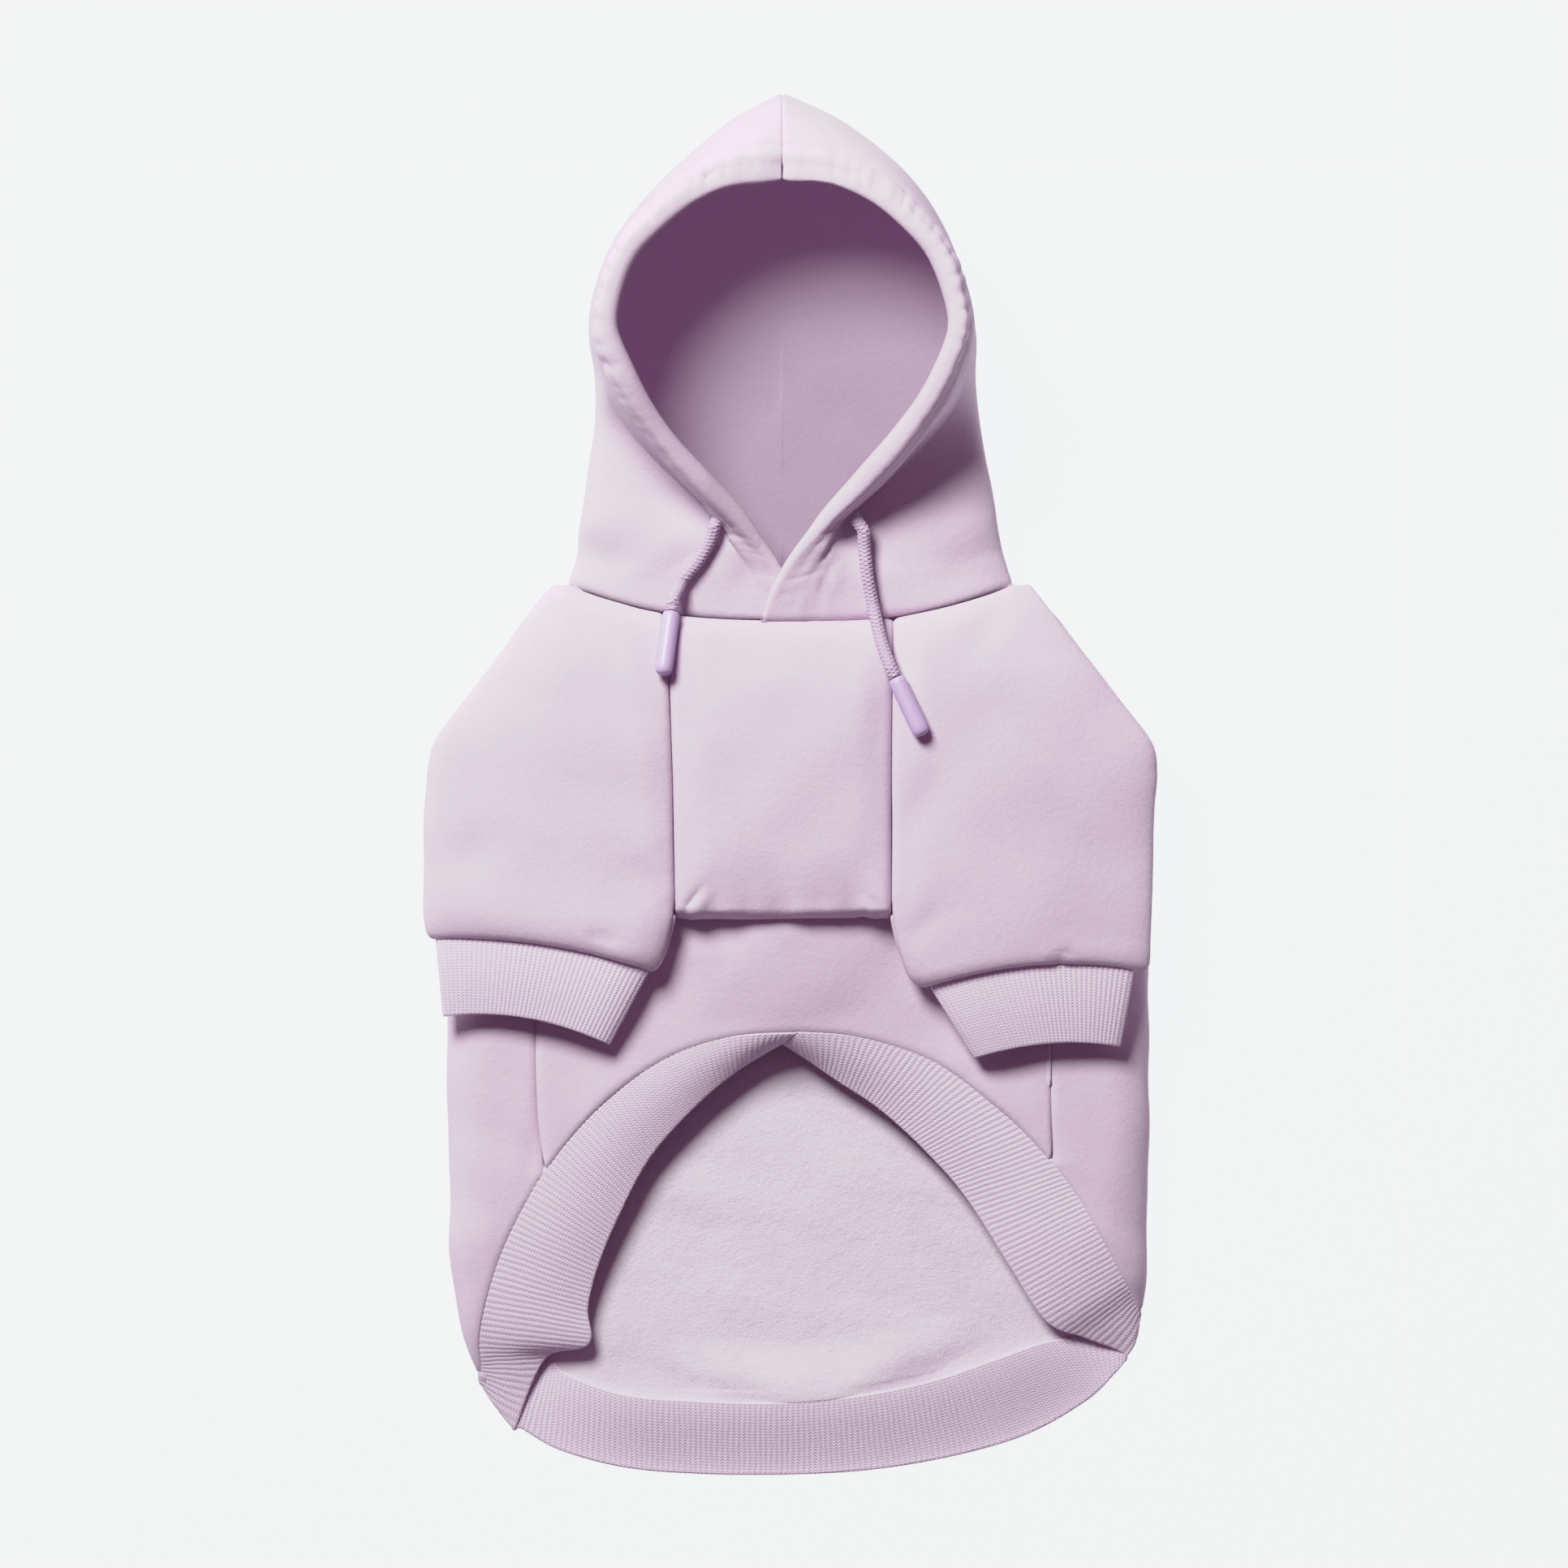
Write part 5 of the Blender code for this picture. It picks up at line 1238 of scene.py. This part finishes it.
def rim_direction(side, at):
    """Which way the rim runs at a place, towards the crown."""
    before, after = spline(HOOD, at - 0.2), spline(HOOD, at + 0.2)
    run = after - before
    way = np.array((side * run[0] * HOOD_WIDTH / 2, run[1] * HOOD_LENGTH, run[2] * HOOD_HEIGHT))
    way[1:] *= 1 - ease((at - (len(HOOD) - 2.2)) / 1.0)
    return way / np.linalg.norm(way)


def wall_inside(wall, rim, distance, clear, along, outward):
    """The place this far down the wall from the rim, moved off the wall's middle to its inner side."""
    run, before = 0.0, np.asarray(rim, float)
    for point in wall:
        step = float(np.linalg.norm(point - before))
        if run + step >= distance:
            way = (point - before) / step
            normal = np.cross(along, way)
            normal /= np.linalg.norm(normal)
            inside = -outward * abs(way[2]) - np.array((0, 0, 1.0)) * math.hypot(way[0], way[1])
            sign = math.copysign(clear, float(np.dot(normal, inside)))
            return before + way * (distance - run) + normal * sign
        run, before = run + step, point
    return before - np.array((0, 0, clear))


def lay_on_neckline(point, weight, below):
    """Draws the hood's lowest rows to the neckline, above the body's edge by half the seam's gap."""
    point = np.array(point, float)
    goal = SEAM_GAP / 2 if below else neckline_y(point[0]) + SEAM_GAP / 2
    point[1] += (goal - point[1]) * weight
    return point


def gathers(side, rows, columns, run, from_rim):
    """The puckers of the cloth that the drawcord draws together: small ridges across the casing."""
    chance = np.random.default_rng(23 + side)
    relief = np.zeros((rows, columns))
    total = run[:, 0][-1]
    for centre in np.arange(GATHER_START, total, GATHER_PITCH):
        centre += chance.uniform(-0.002, 0.002)
        share = centre / total
        strength = 0.25 + 0.75 * ease((share - 0.38) / 0.2)
        strength *= chance.uniform(0.25, 1.0)
        width = chance.uniform(0.0012, 0.0026)
        reach = GATHER_REACH * chance.uniform(0.45, 1.0)
        slant = chance.uniform(-0.25, 0.25)
        across = run - centre - slant * from_rim
        fade = np.exp(-((from_rim / reach) ** 2))
        relief -= GATHER_DEPTH * strength * fade * np.exp(-((across / width) ** 2))
    return relief


def hood(side, name):
    """A hood panel: the casing along the face opening, the wall, and the part that lies on the bed."""
    last = len(HOOD) - 1
    places = [*np.linspace(0, 1, 22)[:-1], *np.linspace(1, last - 0.3, 190)]
    places += [*np.linspace(last - 0.3, last, 12)[1:]]
    rows = [hood_section(side, at) for at in places]
    for at, row in zip(places, rows):
        near = ease((at - last + CROWN_REACH) / CROWN_REACH)
        if near > 0:
            for point in row:
                beside = max(0.0, side * (point[0] - HOOD_LEAN))
                point[0] = HOOD_LEAN + side * math.hypot(beside, near * CROWN_GAP / 2)
    grid = edged(rows)
    rim_column = len(EDGE_STEPS) + 6 * FINE
    distance = edge_distances(grid)
    start, rim_start = distance["start"], distance["start"][:, rim_column : rim_column + 1]
    facing, outside = start < rim_start, start > rim_start
    from_rim = np.abs(start - rim_start)
    rim_run = distance["top"][:, rim_column : rim_column + 1]
    run = np.repeat(rim_run, grid.shape[1], axis=1)
    relief = gathers(side, *grid.shape[:2], run, from_rim) * ease((start - 0.004) / 0.008)
    left = rim_run[-1] - rim_run
    relief *= 0.1 + 0.9 * ease((left - 0.004) / 0.018)
    relief *= np.where(facing, np.exp(-((from_rim / 0.004) ** 2)), 1.0)
    share = from_rim / CASING_WIDTH
    tube = CASING_SWELL * np.sin(math.pi * np.clip(share, 0, 1)) ** 2
    groove = CASING_GROOVE * np.exp(-(((share - 1) / 0.16) ** 2))
    relief += np.where(outside, tube - groove, 0.0) * ease(rim_run / 0.030)
    relief -= CROWN_PINCH * np.exp(-((left / 0.0030) ** 2)) * np.exp(-((from_rim / 0.006) ** 2))
    seams = {"top": 1.0, "bottom": 0.22 * outside}
    outward = (grid.shape[0] // 2, rim_column + 6 * FINE, (side, 0, 0.2))
    return sewn_piece(name, grid, outward, seams, ("start",), relief=relief, seed=17 + side, creased=outside)


# Drawcord


def across_both(ways):
    """For each way, the level direction across it, and the direction across both."""
    level = np.cross(ways, (0, 0, 1.0))
    level /= np.linalg.norm(level, axis=-1, keepdims=True)
    return level, np.cross(level, ways)


def ring_turns(sides):
    """The angle of each point round a tube."""
    return [2 * math.pi * k / sides for k in range(sides)]


def tube_faces(rings, sides):
    """The faces between rings of points that follow each other."""
    faces = []
    for i in range(rings - 1):
        for k in range(sides):
            a, b = i * sides + k, i * sides + (k + 1) % sides
            faces.append((a, b, b + sides, a + sides))
    return faces


def cord_tube(name, side):
    """The cord as a smooth tube with what its braid needs: the way out, the turn round it and the run."""
    route = CORD_ROUTES[side]
    knots = [spline(route, at) for at in np.linspace(0, len(route) - 1, 260)]
    path = np.array(knots) + SHOULDER_LINE
    first = path[0] + np.array(CORD_STARTS[side])
    hidden = [first + (path[0] - first) * share for share in np.linspace(0, 1, 20)[:-1]]
    path = np.vstack((hidden, path))
    for _ in range(30):
        path[1:-1] = (path[:-2] + 2 * path[1:-1] + path[2:]) / 4
    steps = np.linalg.norm(np.diff(path, axis=0), axis=1)
    run = np.concatenate(([0], np.cumsum(steps)))
    ways = np.gradient(path, axis=0)
    ways /= np.linalg.norm(ways, axis=1, keepdims=True)
    level, up = across_both(ways)
    points, outs, turns, runs = [], [], [], []
    for i, centre in enumerate(path):
        for angle in ring_turns(CORD_SIDES):
            out = level[i] * math.cos(angle) + up[i] * math.sin(angle)
            points.append(centre + out * CORD_DIAMETER / 2)
            outs.append(out)
            turns.append(angle)
            runs.append(run[i])
    last = (len(path) - 1) * CORD_SIDES
    faces = tube_faces(len(path), CORD_SIDES)
    faces += [tuple(reversed(range(CORD_SIDES))), tuple(range(last, last + CORD_SIDES))]
    mesh = bpy.data.meshes.new(name)
    mesh.from_pydata(points, [], faces)
    for label, values in (("turn", turns), ("run", runs), ("out", outs)):
        keep_values(mesh, label, values)
    uv = mesh.uv_layers.new(name="cloth")
    places = [(turns[v] * CORD_DIAMETER / 2, runs[v]) for face in faces for v in face]
    uv.data.foreach_set("uv", np.array(places).reshape(-1))
    mesh.shade_smooth()
    turn_out(mesh)
    return placed(name, mesh), path, float(run[-1])


def cord_tip(name, node):
    """A smooth dipped end: a round bar with soft shoulders, along the middle of its solid."""
    points = np.array([vertex.co[:] for vertex in node.data.vertices])
    centre = points.mean(axis=0)
    axis = np.linalg.svd(points - centre)[2][0]
    if axis[1] > 0:
        axis = -axis
    along = (points - centre) @ axis
    start, end = centre + axis * along.min(), centre + axis * along.max()
    level, up = across_both(axis)
    made = []
    for share, width in TIP_PROFILE:
        for angle in ring_turns(TIP_SIDES):
            ring = (level * math.cos(angle) + up * math.sin(angle)) * width * TIP_DIAMETER / 2
            made.append(start + (end - start) * share + ring)
    mesh = bpy.data.meshes.new(name)
    mesh.from_pydata(made, [], tube_faces(len(TIP_PROFILE), TIP_SIDES))
    turn_out(mesh, merge=1e-6)
    mesh.materials.append(material("dipped_tip"))
    mesh.shade_smooth()
    return placed(name, mesh)


# Node trees for ribs and braid


def new_tree(name, sizes):
    """A node tree with a geometry input, these named sizes and a material."""
    tree = bpy.data.node_groups.new(name, "GeometryNodeTree")
    tree.interface.new_socket("Geometry", in_out="INPUT", socket_type="NodeSocketGeometry")
    for label, value in sizes:
        socket = tree.interface.new_socket(label, in_out="INPUT", socket_type="NodeSocketFloat")
        socket.default_value = value
    tree.interface.new_socket("Material", in_out="INPUT", socket_type="NodeSocketMaterial")
    tree.interface.new_socket("Geometry", in_out="OUTPUT", socket_type="NodeSocketGeometry")
    return tree


def named(tree, label, kind="FLOAT"):
    """What the mesh keeps under this name for each of its points."""
    node = tree.nodes.new("GeometryNodeInputNamedAttribute")
    node.data_type = kind
    node.inputs["Name"].default_value = label
    return node.outputs["Attribute"]


def figure(tree, operation, *values):
    """A Math node of these values, each a number or another node's output."""
    node = tree.nodes.new("ShaderNodeMath")
    node.operation = operation
    for socket, value in zip(node.inputs, values):
        if isinstance(value, (int, float)):
            socket.default_value = value
        else:
            tree.links.new(value, socket)
    return node.outputs[0]


def raise_along_out(tree, group_in, height):
    """Moves every point out by the height, then realizes and sets the material."""
    scale = tree.nodes.new("ShaderNodeVectorMath")
    scale.operation = "SCALE"
    tree.links.new(named(tree, "out", "FLOAT_VECTOR"), scale.inputs[0])
    tree.links.new(height, scale.inputs["Scale"])
    move = tree.nodes.new("GeometryNodeSetPosition")
    realize = tree.nodes.new("GeometryNodeRealizeInstances")
    finish = tree.nodes.new("GeometryNodeSetMaterial")
    group_out = tree.nodes.new("NodeGroupOutput")
    tree.links.new(group_in.outputs["Geometry"], move.inputs["Geometry"])
    tree.links.new(scale.outputs[0], move.inputs["Offset"])
    tree.links.new(move.outputs[0], realize.inputs[0])
    tree.links.new(realize.outputs[0], finish.inputs["Geometry"])
    tree.links.new(group_in.outputs["Material"], finish.inputs["Material"])
    tree.links.new(finish.outputs[0], group_out.inputs[0])


def rib_tree():
    """Raises the ribs of a knit band: round ridges with narrow valleys, one for each pitch along its run."""
    found = bpy.data.node_groups.get("Rib knit")
    if found:
        return found
    tree = new_tree("Rib knit", (("Rib pitch", HEM_RIB_PITCH), ("Rib depth", HEM_RIB_DEPTH)))
    group_in = tree.nodes.new("NodeGroupInput")
    turns = figure(tree, "DIVIDE", named(tree, "run"), group_in.outputs["Rib pitch"])
    wave = figure(tree, "ABSOLUTE", figure(tree, "SINE", figure(tree, "MULTIPLY", turns, math.pi)))
    ridge = figure(tree, "SUBTRACT", figure(tree, "POWER", wave, RIB_ROUNDNESS), RIB_MIDDLE)
    height = figure(tree, "MULTIPLY", ridge, group_in.outputs["Rib depth"])
    raise_along_out(tree, group_in, figure(tree, "MULTIPLY", height, named(tree, "ribbing")))
    return tree


def braid_tree():
    """Raises the strands of a round braid: two sets of helices that pass over and under each other."""
    tree = new_tree("Cord braid", (("Braid pitch", BRAID_PITCH), ("Braid depth", BRAID_DEPTH)))
    group_in = tree.nodes.new("NodeGroupInput")
    along = figure(tree, "DIVIDE", named(tree, "run"), group_in.outputs["Braid pitch"])
    along = figure(tree, "MULTIPLY", along, 2 * math.pi)
    around = figure(tree, "MULTIPLY", named(tree, "turn"), 4.0)
    climb = figure(tree, "MULTIPLY", along, 2.0)
    one = figure(tree, "COSINE", figure(tree, "ADD", around, climb))
    other = figure(tree, "COSINE", figure(tree, "SUBTRACT", around, climb))
    strands = figure(tree, "SUBTRACT", figure(tree, "MAXIMUM", one, other), BRAID_MIDDLE)
    height = figure(tree, "MULTIPLY", strands, group_in.outputs["Braid depth"])
    raise_along_out(tree, group_in, height)
    return tree


def grown(name, flat, tree, values):
    """The plain mesh that a node tree makes of an object, which it takes the place of."""
    modifier = flat.modifiers.new("Relief", "NODES")
    modifier.node_group = tree
    for socket in tree.interface.items_tree:
        if socket.in_out == "INPUT" and socket.name in values:
            modifier[socket.identifier] = values[socket.name]
    bpy.context.view_layer.update()
    made = bpy.data.meshes.new_from_object(flat.evaluated_get(bpy.context.evaluated_depsgraph_get()))
    bpy.data.objects.remove(flat)
    made.name = name
    made.shade_smooth()
    return placed(name, made)


# Materials


def set_sockets(node, values):
    """Sets these sockets of a node, each to its value."""
    for label, value in values.items():
        node.inputs[label].default_value = value


def shader_group(name, inputs, outputs):
    """An empty group with these sockets, and its two end nodes."""
    tree = bpy.data.node_groups.new(name, "ShaderNodeTree")
    for label, kind in inputs:
        tree.interface.new_socket(label, in_out="INPUT", socket_type=kind)
    for label, kind in outputs:
        tree.interface.new_socket(label, in_out="OUTPUT", socket_type=kind)
    return tree, tree.nodes.new("NodeGroupInput"), tree.nodes.new("NodeGroupOutput")


def noise(tree, place, scale, detail, roughness):
    """A Noise Texture read at this place."""
    node = tree.nodes.new("ShaderNodeTexNoise")
    set_sockets(node, {"Scale": scale, "Detail": detail, "Roughness": roughness})
    tree.links.new(place, node.inputs["Vector"])
    return node.outputs["Fac"]


def pile_group():
    """A short brushed pile: a mask of faint random clouds and of flecks that follow the low fibres, for
    painted shade, and the height of its fibres.
    """
    found = bpy.data.node_groups.get("Brushed pile")
    if found:
        return found
    tree, group_in, group_out = shader_group(
        "Brushed pile",
        (("Fibre size", "NodeSocketFloat"), ("Clouds", "NodeSocketFloat")),
        (("Mask", "NodeSocketFloat"), ("Height", "NodeSocketFloat")),
    )
    place = tree.nodes.new("ShaderNodeTexCoord").outputs["Object"]
    scaled = tree.nodes.new("ShaderNodeVectorMath")
    scaled.operation = "SCALE"
    tree.links.new(place, scaled.inputs[0])
    tree.links.new(figure(tree, "DIVIDE", 1.0, group_in.outputs["Fibre size"]), scaled.inputs["Scale"])
    fibres = noise(tree, scaled.outputs[0], 1.0, 4.0, 0.7)
    tufts = noise(tree, scaled.outputs[0], 0.22, 3.0, 0.6)
    clouds = noise(tree, place, 55.0, 3.0, 0.55)
    mixed = figure(tree, "MULTIPLY", figure(tree, "SUBTRACT", clouds, 0.5), group_in.outputs["Clouds"])
    speck = figure(tree, "MULTIPLY", figure(tree, "SUBTRACT", fibres, 0.5), 0.5)
    mask = figure(tree, "ADD", figure(tree, "ADD", mixed, speck), 0.5)
    height = figure(tree, "ADD", fibres, figure(tree, "MULTIPLY", tufts, 1.2))
    tree.links.new(mask, group_out.inputs["Mask"])
    tree.links.new(height, group_out.inputs["Height"])
    return tree


def stitch_group():
    """Rows of knit loops or braid plaits, as slanted stitches that mirror from column to column."""
    found = bpy.data.node_groups.get("Knit loops")
    if found:
        return found
    tree, group_in, group_out = shader_group(
        "Knit loops",
        (("Column", "NodeSocketFloat"), ("Course", "NodeSocketFloat")),
        (("Height", "NodeSocketFloat"),),
    )
    place = tree.nodes.new("ShaderNodeUVMap")
    place.uv_map = "cloth"
    split = tree.nodes.new("ShaderNodeSeparateXYZ")
    tree.links.new(place.outputs[0], split.inputs[0])
    column = figure(tree, "DIVIDE", split.outputs[0], group_in.outputs["Column"])
    course = figure(tree, "DIVIDE", split.outputs[1], group_in.outputs["Course"])
    slant = figure(tree, "ABSOLUTE", figure(tree, "SINE", figure(tree, "MULTIPLY", column, math.pi)))
    phase = figure(tree, "ADD", course, figure(tree, "MULTIPLY", slant, 0.6))
    loops = figure(tree, "SINE", figure(tree, "MULTIPLY", phase, 2 * math.pi))
    height = figure(tree, "MULTIPLY", figure(tree, "ADD", loops, 1.0), 0.5)
    tree.links.new(height, group_out.inputs["Height"])
    return tree


# For each finish: roughness, sheen, fibre size, clouds, bump depth, then knit column, course and depth
FINISHES = {
    "hood_inside_painted_shade_and_glow": (0.96, 0.30, 0.00070, 0.50, 0.00016, None),
    "fleece": (0.94, 0.10, 0.00055, 0.50, 0.00014, None),
    "fleece_inside": (0.96, 0.20, 0.00090, 1.00, 0.00030, None),
    "rib_knit": (0.92, 0.15, 0.00050, 0.30, 0.00006, (0.0016, 0.0011, 0.00009)),
    "cord_braid": (0.85, 0.25, 0.00040, 0.30, 0.00005, (0.0009, 0.0008, 0.00012)),
    "dipped_tip": (0.38, 0.00, 0.00300, 0.30, 0.00002, None),
}
SHEEN_TINT = (0.95, 0.90, 0.97, 1.0)

# Painted light: a faint glow on the hood's inside, in place of the daylight that comes through its cloth
HOOD_PAINTED_GLOW = {"Emission Color": (1.0, 0.42, 0.98, 1.0), "Emission Strength": 0.075}


def material(name):
    """The material of a finish, made when it is first asked for."""
    found = bpy.data.materials.get(name)
    if found and found.get("made_here"):
        return found
    made = bpy.data.materials.new(name)
    made["made_here"] = True
    made.use_nodes = True
    tree = made.node_tree
    shader = tree.nodes["Principled BSDF"]
    lit, hollow_shade = COLOURS[name]
    roughness, sheen, fibre, clouds, depth, knit = FINISHES[name]
    set_sockets(
        shader,
        {
            "Roughness": roughness,
            "Sheen Weight": sheen,
            "Sheen Roughness": 0.5,
            "Sheen Tint": SHEEN_TINT,
            "Specular IOR Level": 0.45 if name == "dipped_tip" else 0.2,
        },
    )
    # The hood's inside glows faintly: painted light
    if name == "hood_inside_painted_shade_and_glow":
        set_sockets(shader, HOOD_PAINTED_GLOW)
    pile = tree.nodes.new("ShaderNodeGroup")
    pile.node_tree = pile_group()
    set_sockets(pile, {"Fibre size": fibre, "Clouds": clouds})
    # Painted shade: the colour goes to the hollow colour where the pile's mask is low; the mask's flecks
    # follow the low fibres, its faint clouds are random tone
    blend = tree.nodes.new("ShaderNodeMix")
    blend.data_type = "RGBA"
    set_sockets(blend, {"A": (*hollow_shade, 1.0), "B": (*lit, 1.0)})
    spread = tree.nodes.new("ShaderNodeMapRange")
    set_sockets(spread, {"From Min": -0.3, "From Max": 0.55})
    tree.links.new(pile.outputs["Mask"], spread.inputs["Value"])
    share = spread.outputs["Result"]
    bump = tree.nodes.new("ShaderNodeBump")
    set_sockets(bump, {"Distance": depth, "Strength": 1.0})
    tree.links.new(pile.outputs["Height"], bump.inputs["Height"])
    if knit:
        loops = tree.nodes.new("ShaderNodeGroup")
        loops.node_tree = stitch_group()
        set_sockets(loops, {"Column": knit[0], "Course": knit[1]})
        weave = tree.nodes.new("ShaderNodeBump")
        set_sockets(weave, {"Distance": knit[2], "Strength": 1.0})
        tree.links.new(loops.outputs["Height"], weave.inputs["Height"])
        tree.links.new(bump.outputs["Normal"], weave.inputs["Normal"])
        tree.links.new(weave.outputs["Normal"], shader.inputs["Normal"])
        # Painted shade between knit loops and braid plaits: where the loops lie low the colour goes further
        # towards the hollow colour
        share = figure(tree, "MULTIPLY", share, figure(tree, "ADD", loops.outputs["Height"], 0.75))
        share = figure(tree, "MINIMUM", share, 1.0)
    else:
        tree.links.new(bump.outputs["Normal"], shader.inputs["Normal"])
    tree.links.new(share, blend.inputs["Factor"])
    tree.links.new(blend.outputs["Result"], shader.inputs["Base Color"])
    return made


# Studio

FLOOR_SIZE, FLOOR_DROP = 4.0, 0.0002
PAPER_COLOUR, PAPER_GLOW, PAPER_GLOW_STRENGTH = (0.03, 0.03, 0.03), (0.960, 0.980, 1.0), 1.20
KEY_SIZE, KEY_DISTANCE, KEY_POWER = 0.80, 2.0, 55.0
KEY_DIRECTION = (-0.34, 0.59, 0.73)
KEY_COLOUR = (0.93, 1.0, 0.92)
SKY_COLOUR, SKY_STRENGTH = (1.0, 0.50, 0.88), 0.13
CAMERA_HEIGHT, CAMERA_REACH, SENSOR_WIDTH = 12.0, 40.0, 36.0
VIEW_WIDTH, VIEW_LEVEL = 0.5796, 0.010
VIEW_MIDDLE = (-0.0024, 0.00015)

# How bright the brightest tones are shown, so that no cloth that faces the light burns out
TONE_WHITE = 2.0
TONES = (
    # light, how bright it is shown
    (0.10, 0.10),
    (0.30, 0.30),
    (0.50, 0.50),
    (0.64, 0.64),
    (0.76, 0.715),
    (0.90, 0.765),
    (1.05, 0.82),
    (1.20, 0.90),
    (1.50, 0.96),
)


def studio():
    """A pale floor, a soft key light from the upper left, a dim sky and a camera straight above."""
    mesh = bpy.data.meshes.new("floor")
    corners = [(x * FLOOR_SIZE, y * FLOOR_SIZE, 0) for x, y in ((-1, -1), (1, -1), (1, 1), (-1, 1))]
    mesh.from_pydata(corners, [], [(0, 1, 2, 3)])
    floor = placed("floor", mesh)
    paper = bpy.data.materials.new("paper")
    paper.use_nodes = True
    set_sockets(
        paper.node_tree.nodes["Principled BSDF"],
        {
            "Base Color": (*PAPER_COLOUR, 1.0),
            "Roughness": 1.0,
            "Specular IOR Level": 0.0,
            "Emission Color": (*PAPER_GLOW, 1.0),
            "Emission Strength": PAPER_GLOW_STRENGTH,
        },
    )
    mesh.materials.append(paper)
    floor.location = (0, 0, -FLOOR_DROP)

    lamp = bpy.data.lights.new("key", "AREA")
    lamp.shape = "DISK"
    lamp.size = KEY_SIZE
    lamp.energy = KEY_POWER
    lamp.color = KEY_COLOUR
    key = placed("key", lamp)
    way = np.array(KEY_DIRECTION) / np.linalg.norm(KEY_DIRECTION)
    key.location = way * KEY_DISTANCE
    key.rotation_euler = Vector(-way).to_track_quat("-Z", "Y").to_euler()

    world = bpy.data.worlds.new("sky")
    world.use_nodes = True
    sky = {"Color": (*SKY_COLOUR, 1.0), "Strength": SKY_STRENGTH}
    set_sockets(world.node_tree.nodes["Background"], sky)
    bpy.context.scene.world = world

    camera = placed("camera", bpy.data.cameras.new("camera"))
    camera.data.sensor_width = SENSOR_WIDTH
    camera.data.lens = SENSOR_WIDTH * CAMERA_HEIGHT / VIEW_WIDTH
    camera.data.clip_end = CAMERA_REACH
    camera.location = (*VIEW_MIDDLE, CAMERA_HEIGHT + VIEW_LEVEL)
    bpy.context.scene.camera = camera

    view = bpy.context.scene.view_settings
    view.view_transform = "Standard"
    view.use_curve_mapping = True
    view.curve_mapping.white_level = (TONE_WHITE, TONE_WHITE, TONE_WHITE)
    curve = view.curve_mapping.curves[3]
    curve.points[0].location, curve.points[1].location = (0.0, 0.0), (1.0, 1.0)
    for shone, shown in TONES:
        curve.points.new(shone / TONE_WHITE, shown)
    view.curve_mapping.update()


def main():
    """Makes every piece, hides the part of model.glb that it is drawn in place of, and sets up the studio."""
    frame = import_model()
    pieces = [
        back_panel(),
        belly_panel(),
        hem_band(),
        chest_panel(),
        sleeve(LEFT, "sleeve_left"),
        sleeve(RIGHT, "sleeve_right"),
        cuff(LEFT, "cuff_left"),
        cuff(RIGHT, "cuff_right"),
        hood(LEFT, "hood_left"),
        hood(RIGHT, "hood_right"),
    ]
    for piece in pieces:
        node = piece.name.split(".")[0]
        piece.name = node + "_cloth"
        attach(piece, "root")
        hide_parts(node)
    braid = braid_tree()
    sizes = {"Braid pitch": BRAID_PITCH, "Braid depth": BRAID_DEPTH, "Material": material("cord_braid")}
    for side, word in ((LEFT, "left"), (RIGHT, "right")):
        tube, path, length = cord_tube("cord_" + word + "_plain", side)
        cord = grown("cord_" + word, tube, braid, sizes)
        tip = cord_tip("dipped_tip_" + word, frame["nodes"]["cord_tip_" + word])
        for piece, node, slot in ((cord, "drawcord_", "cord_braid"), (tip, "cord_tip_", "dipped_tip")):
            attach(piece, "root")
            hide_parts(node + word)
    studio()


main()
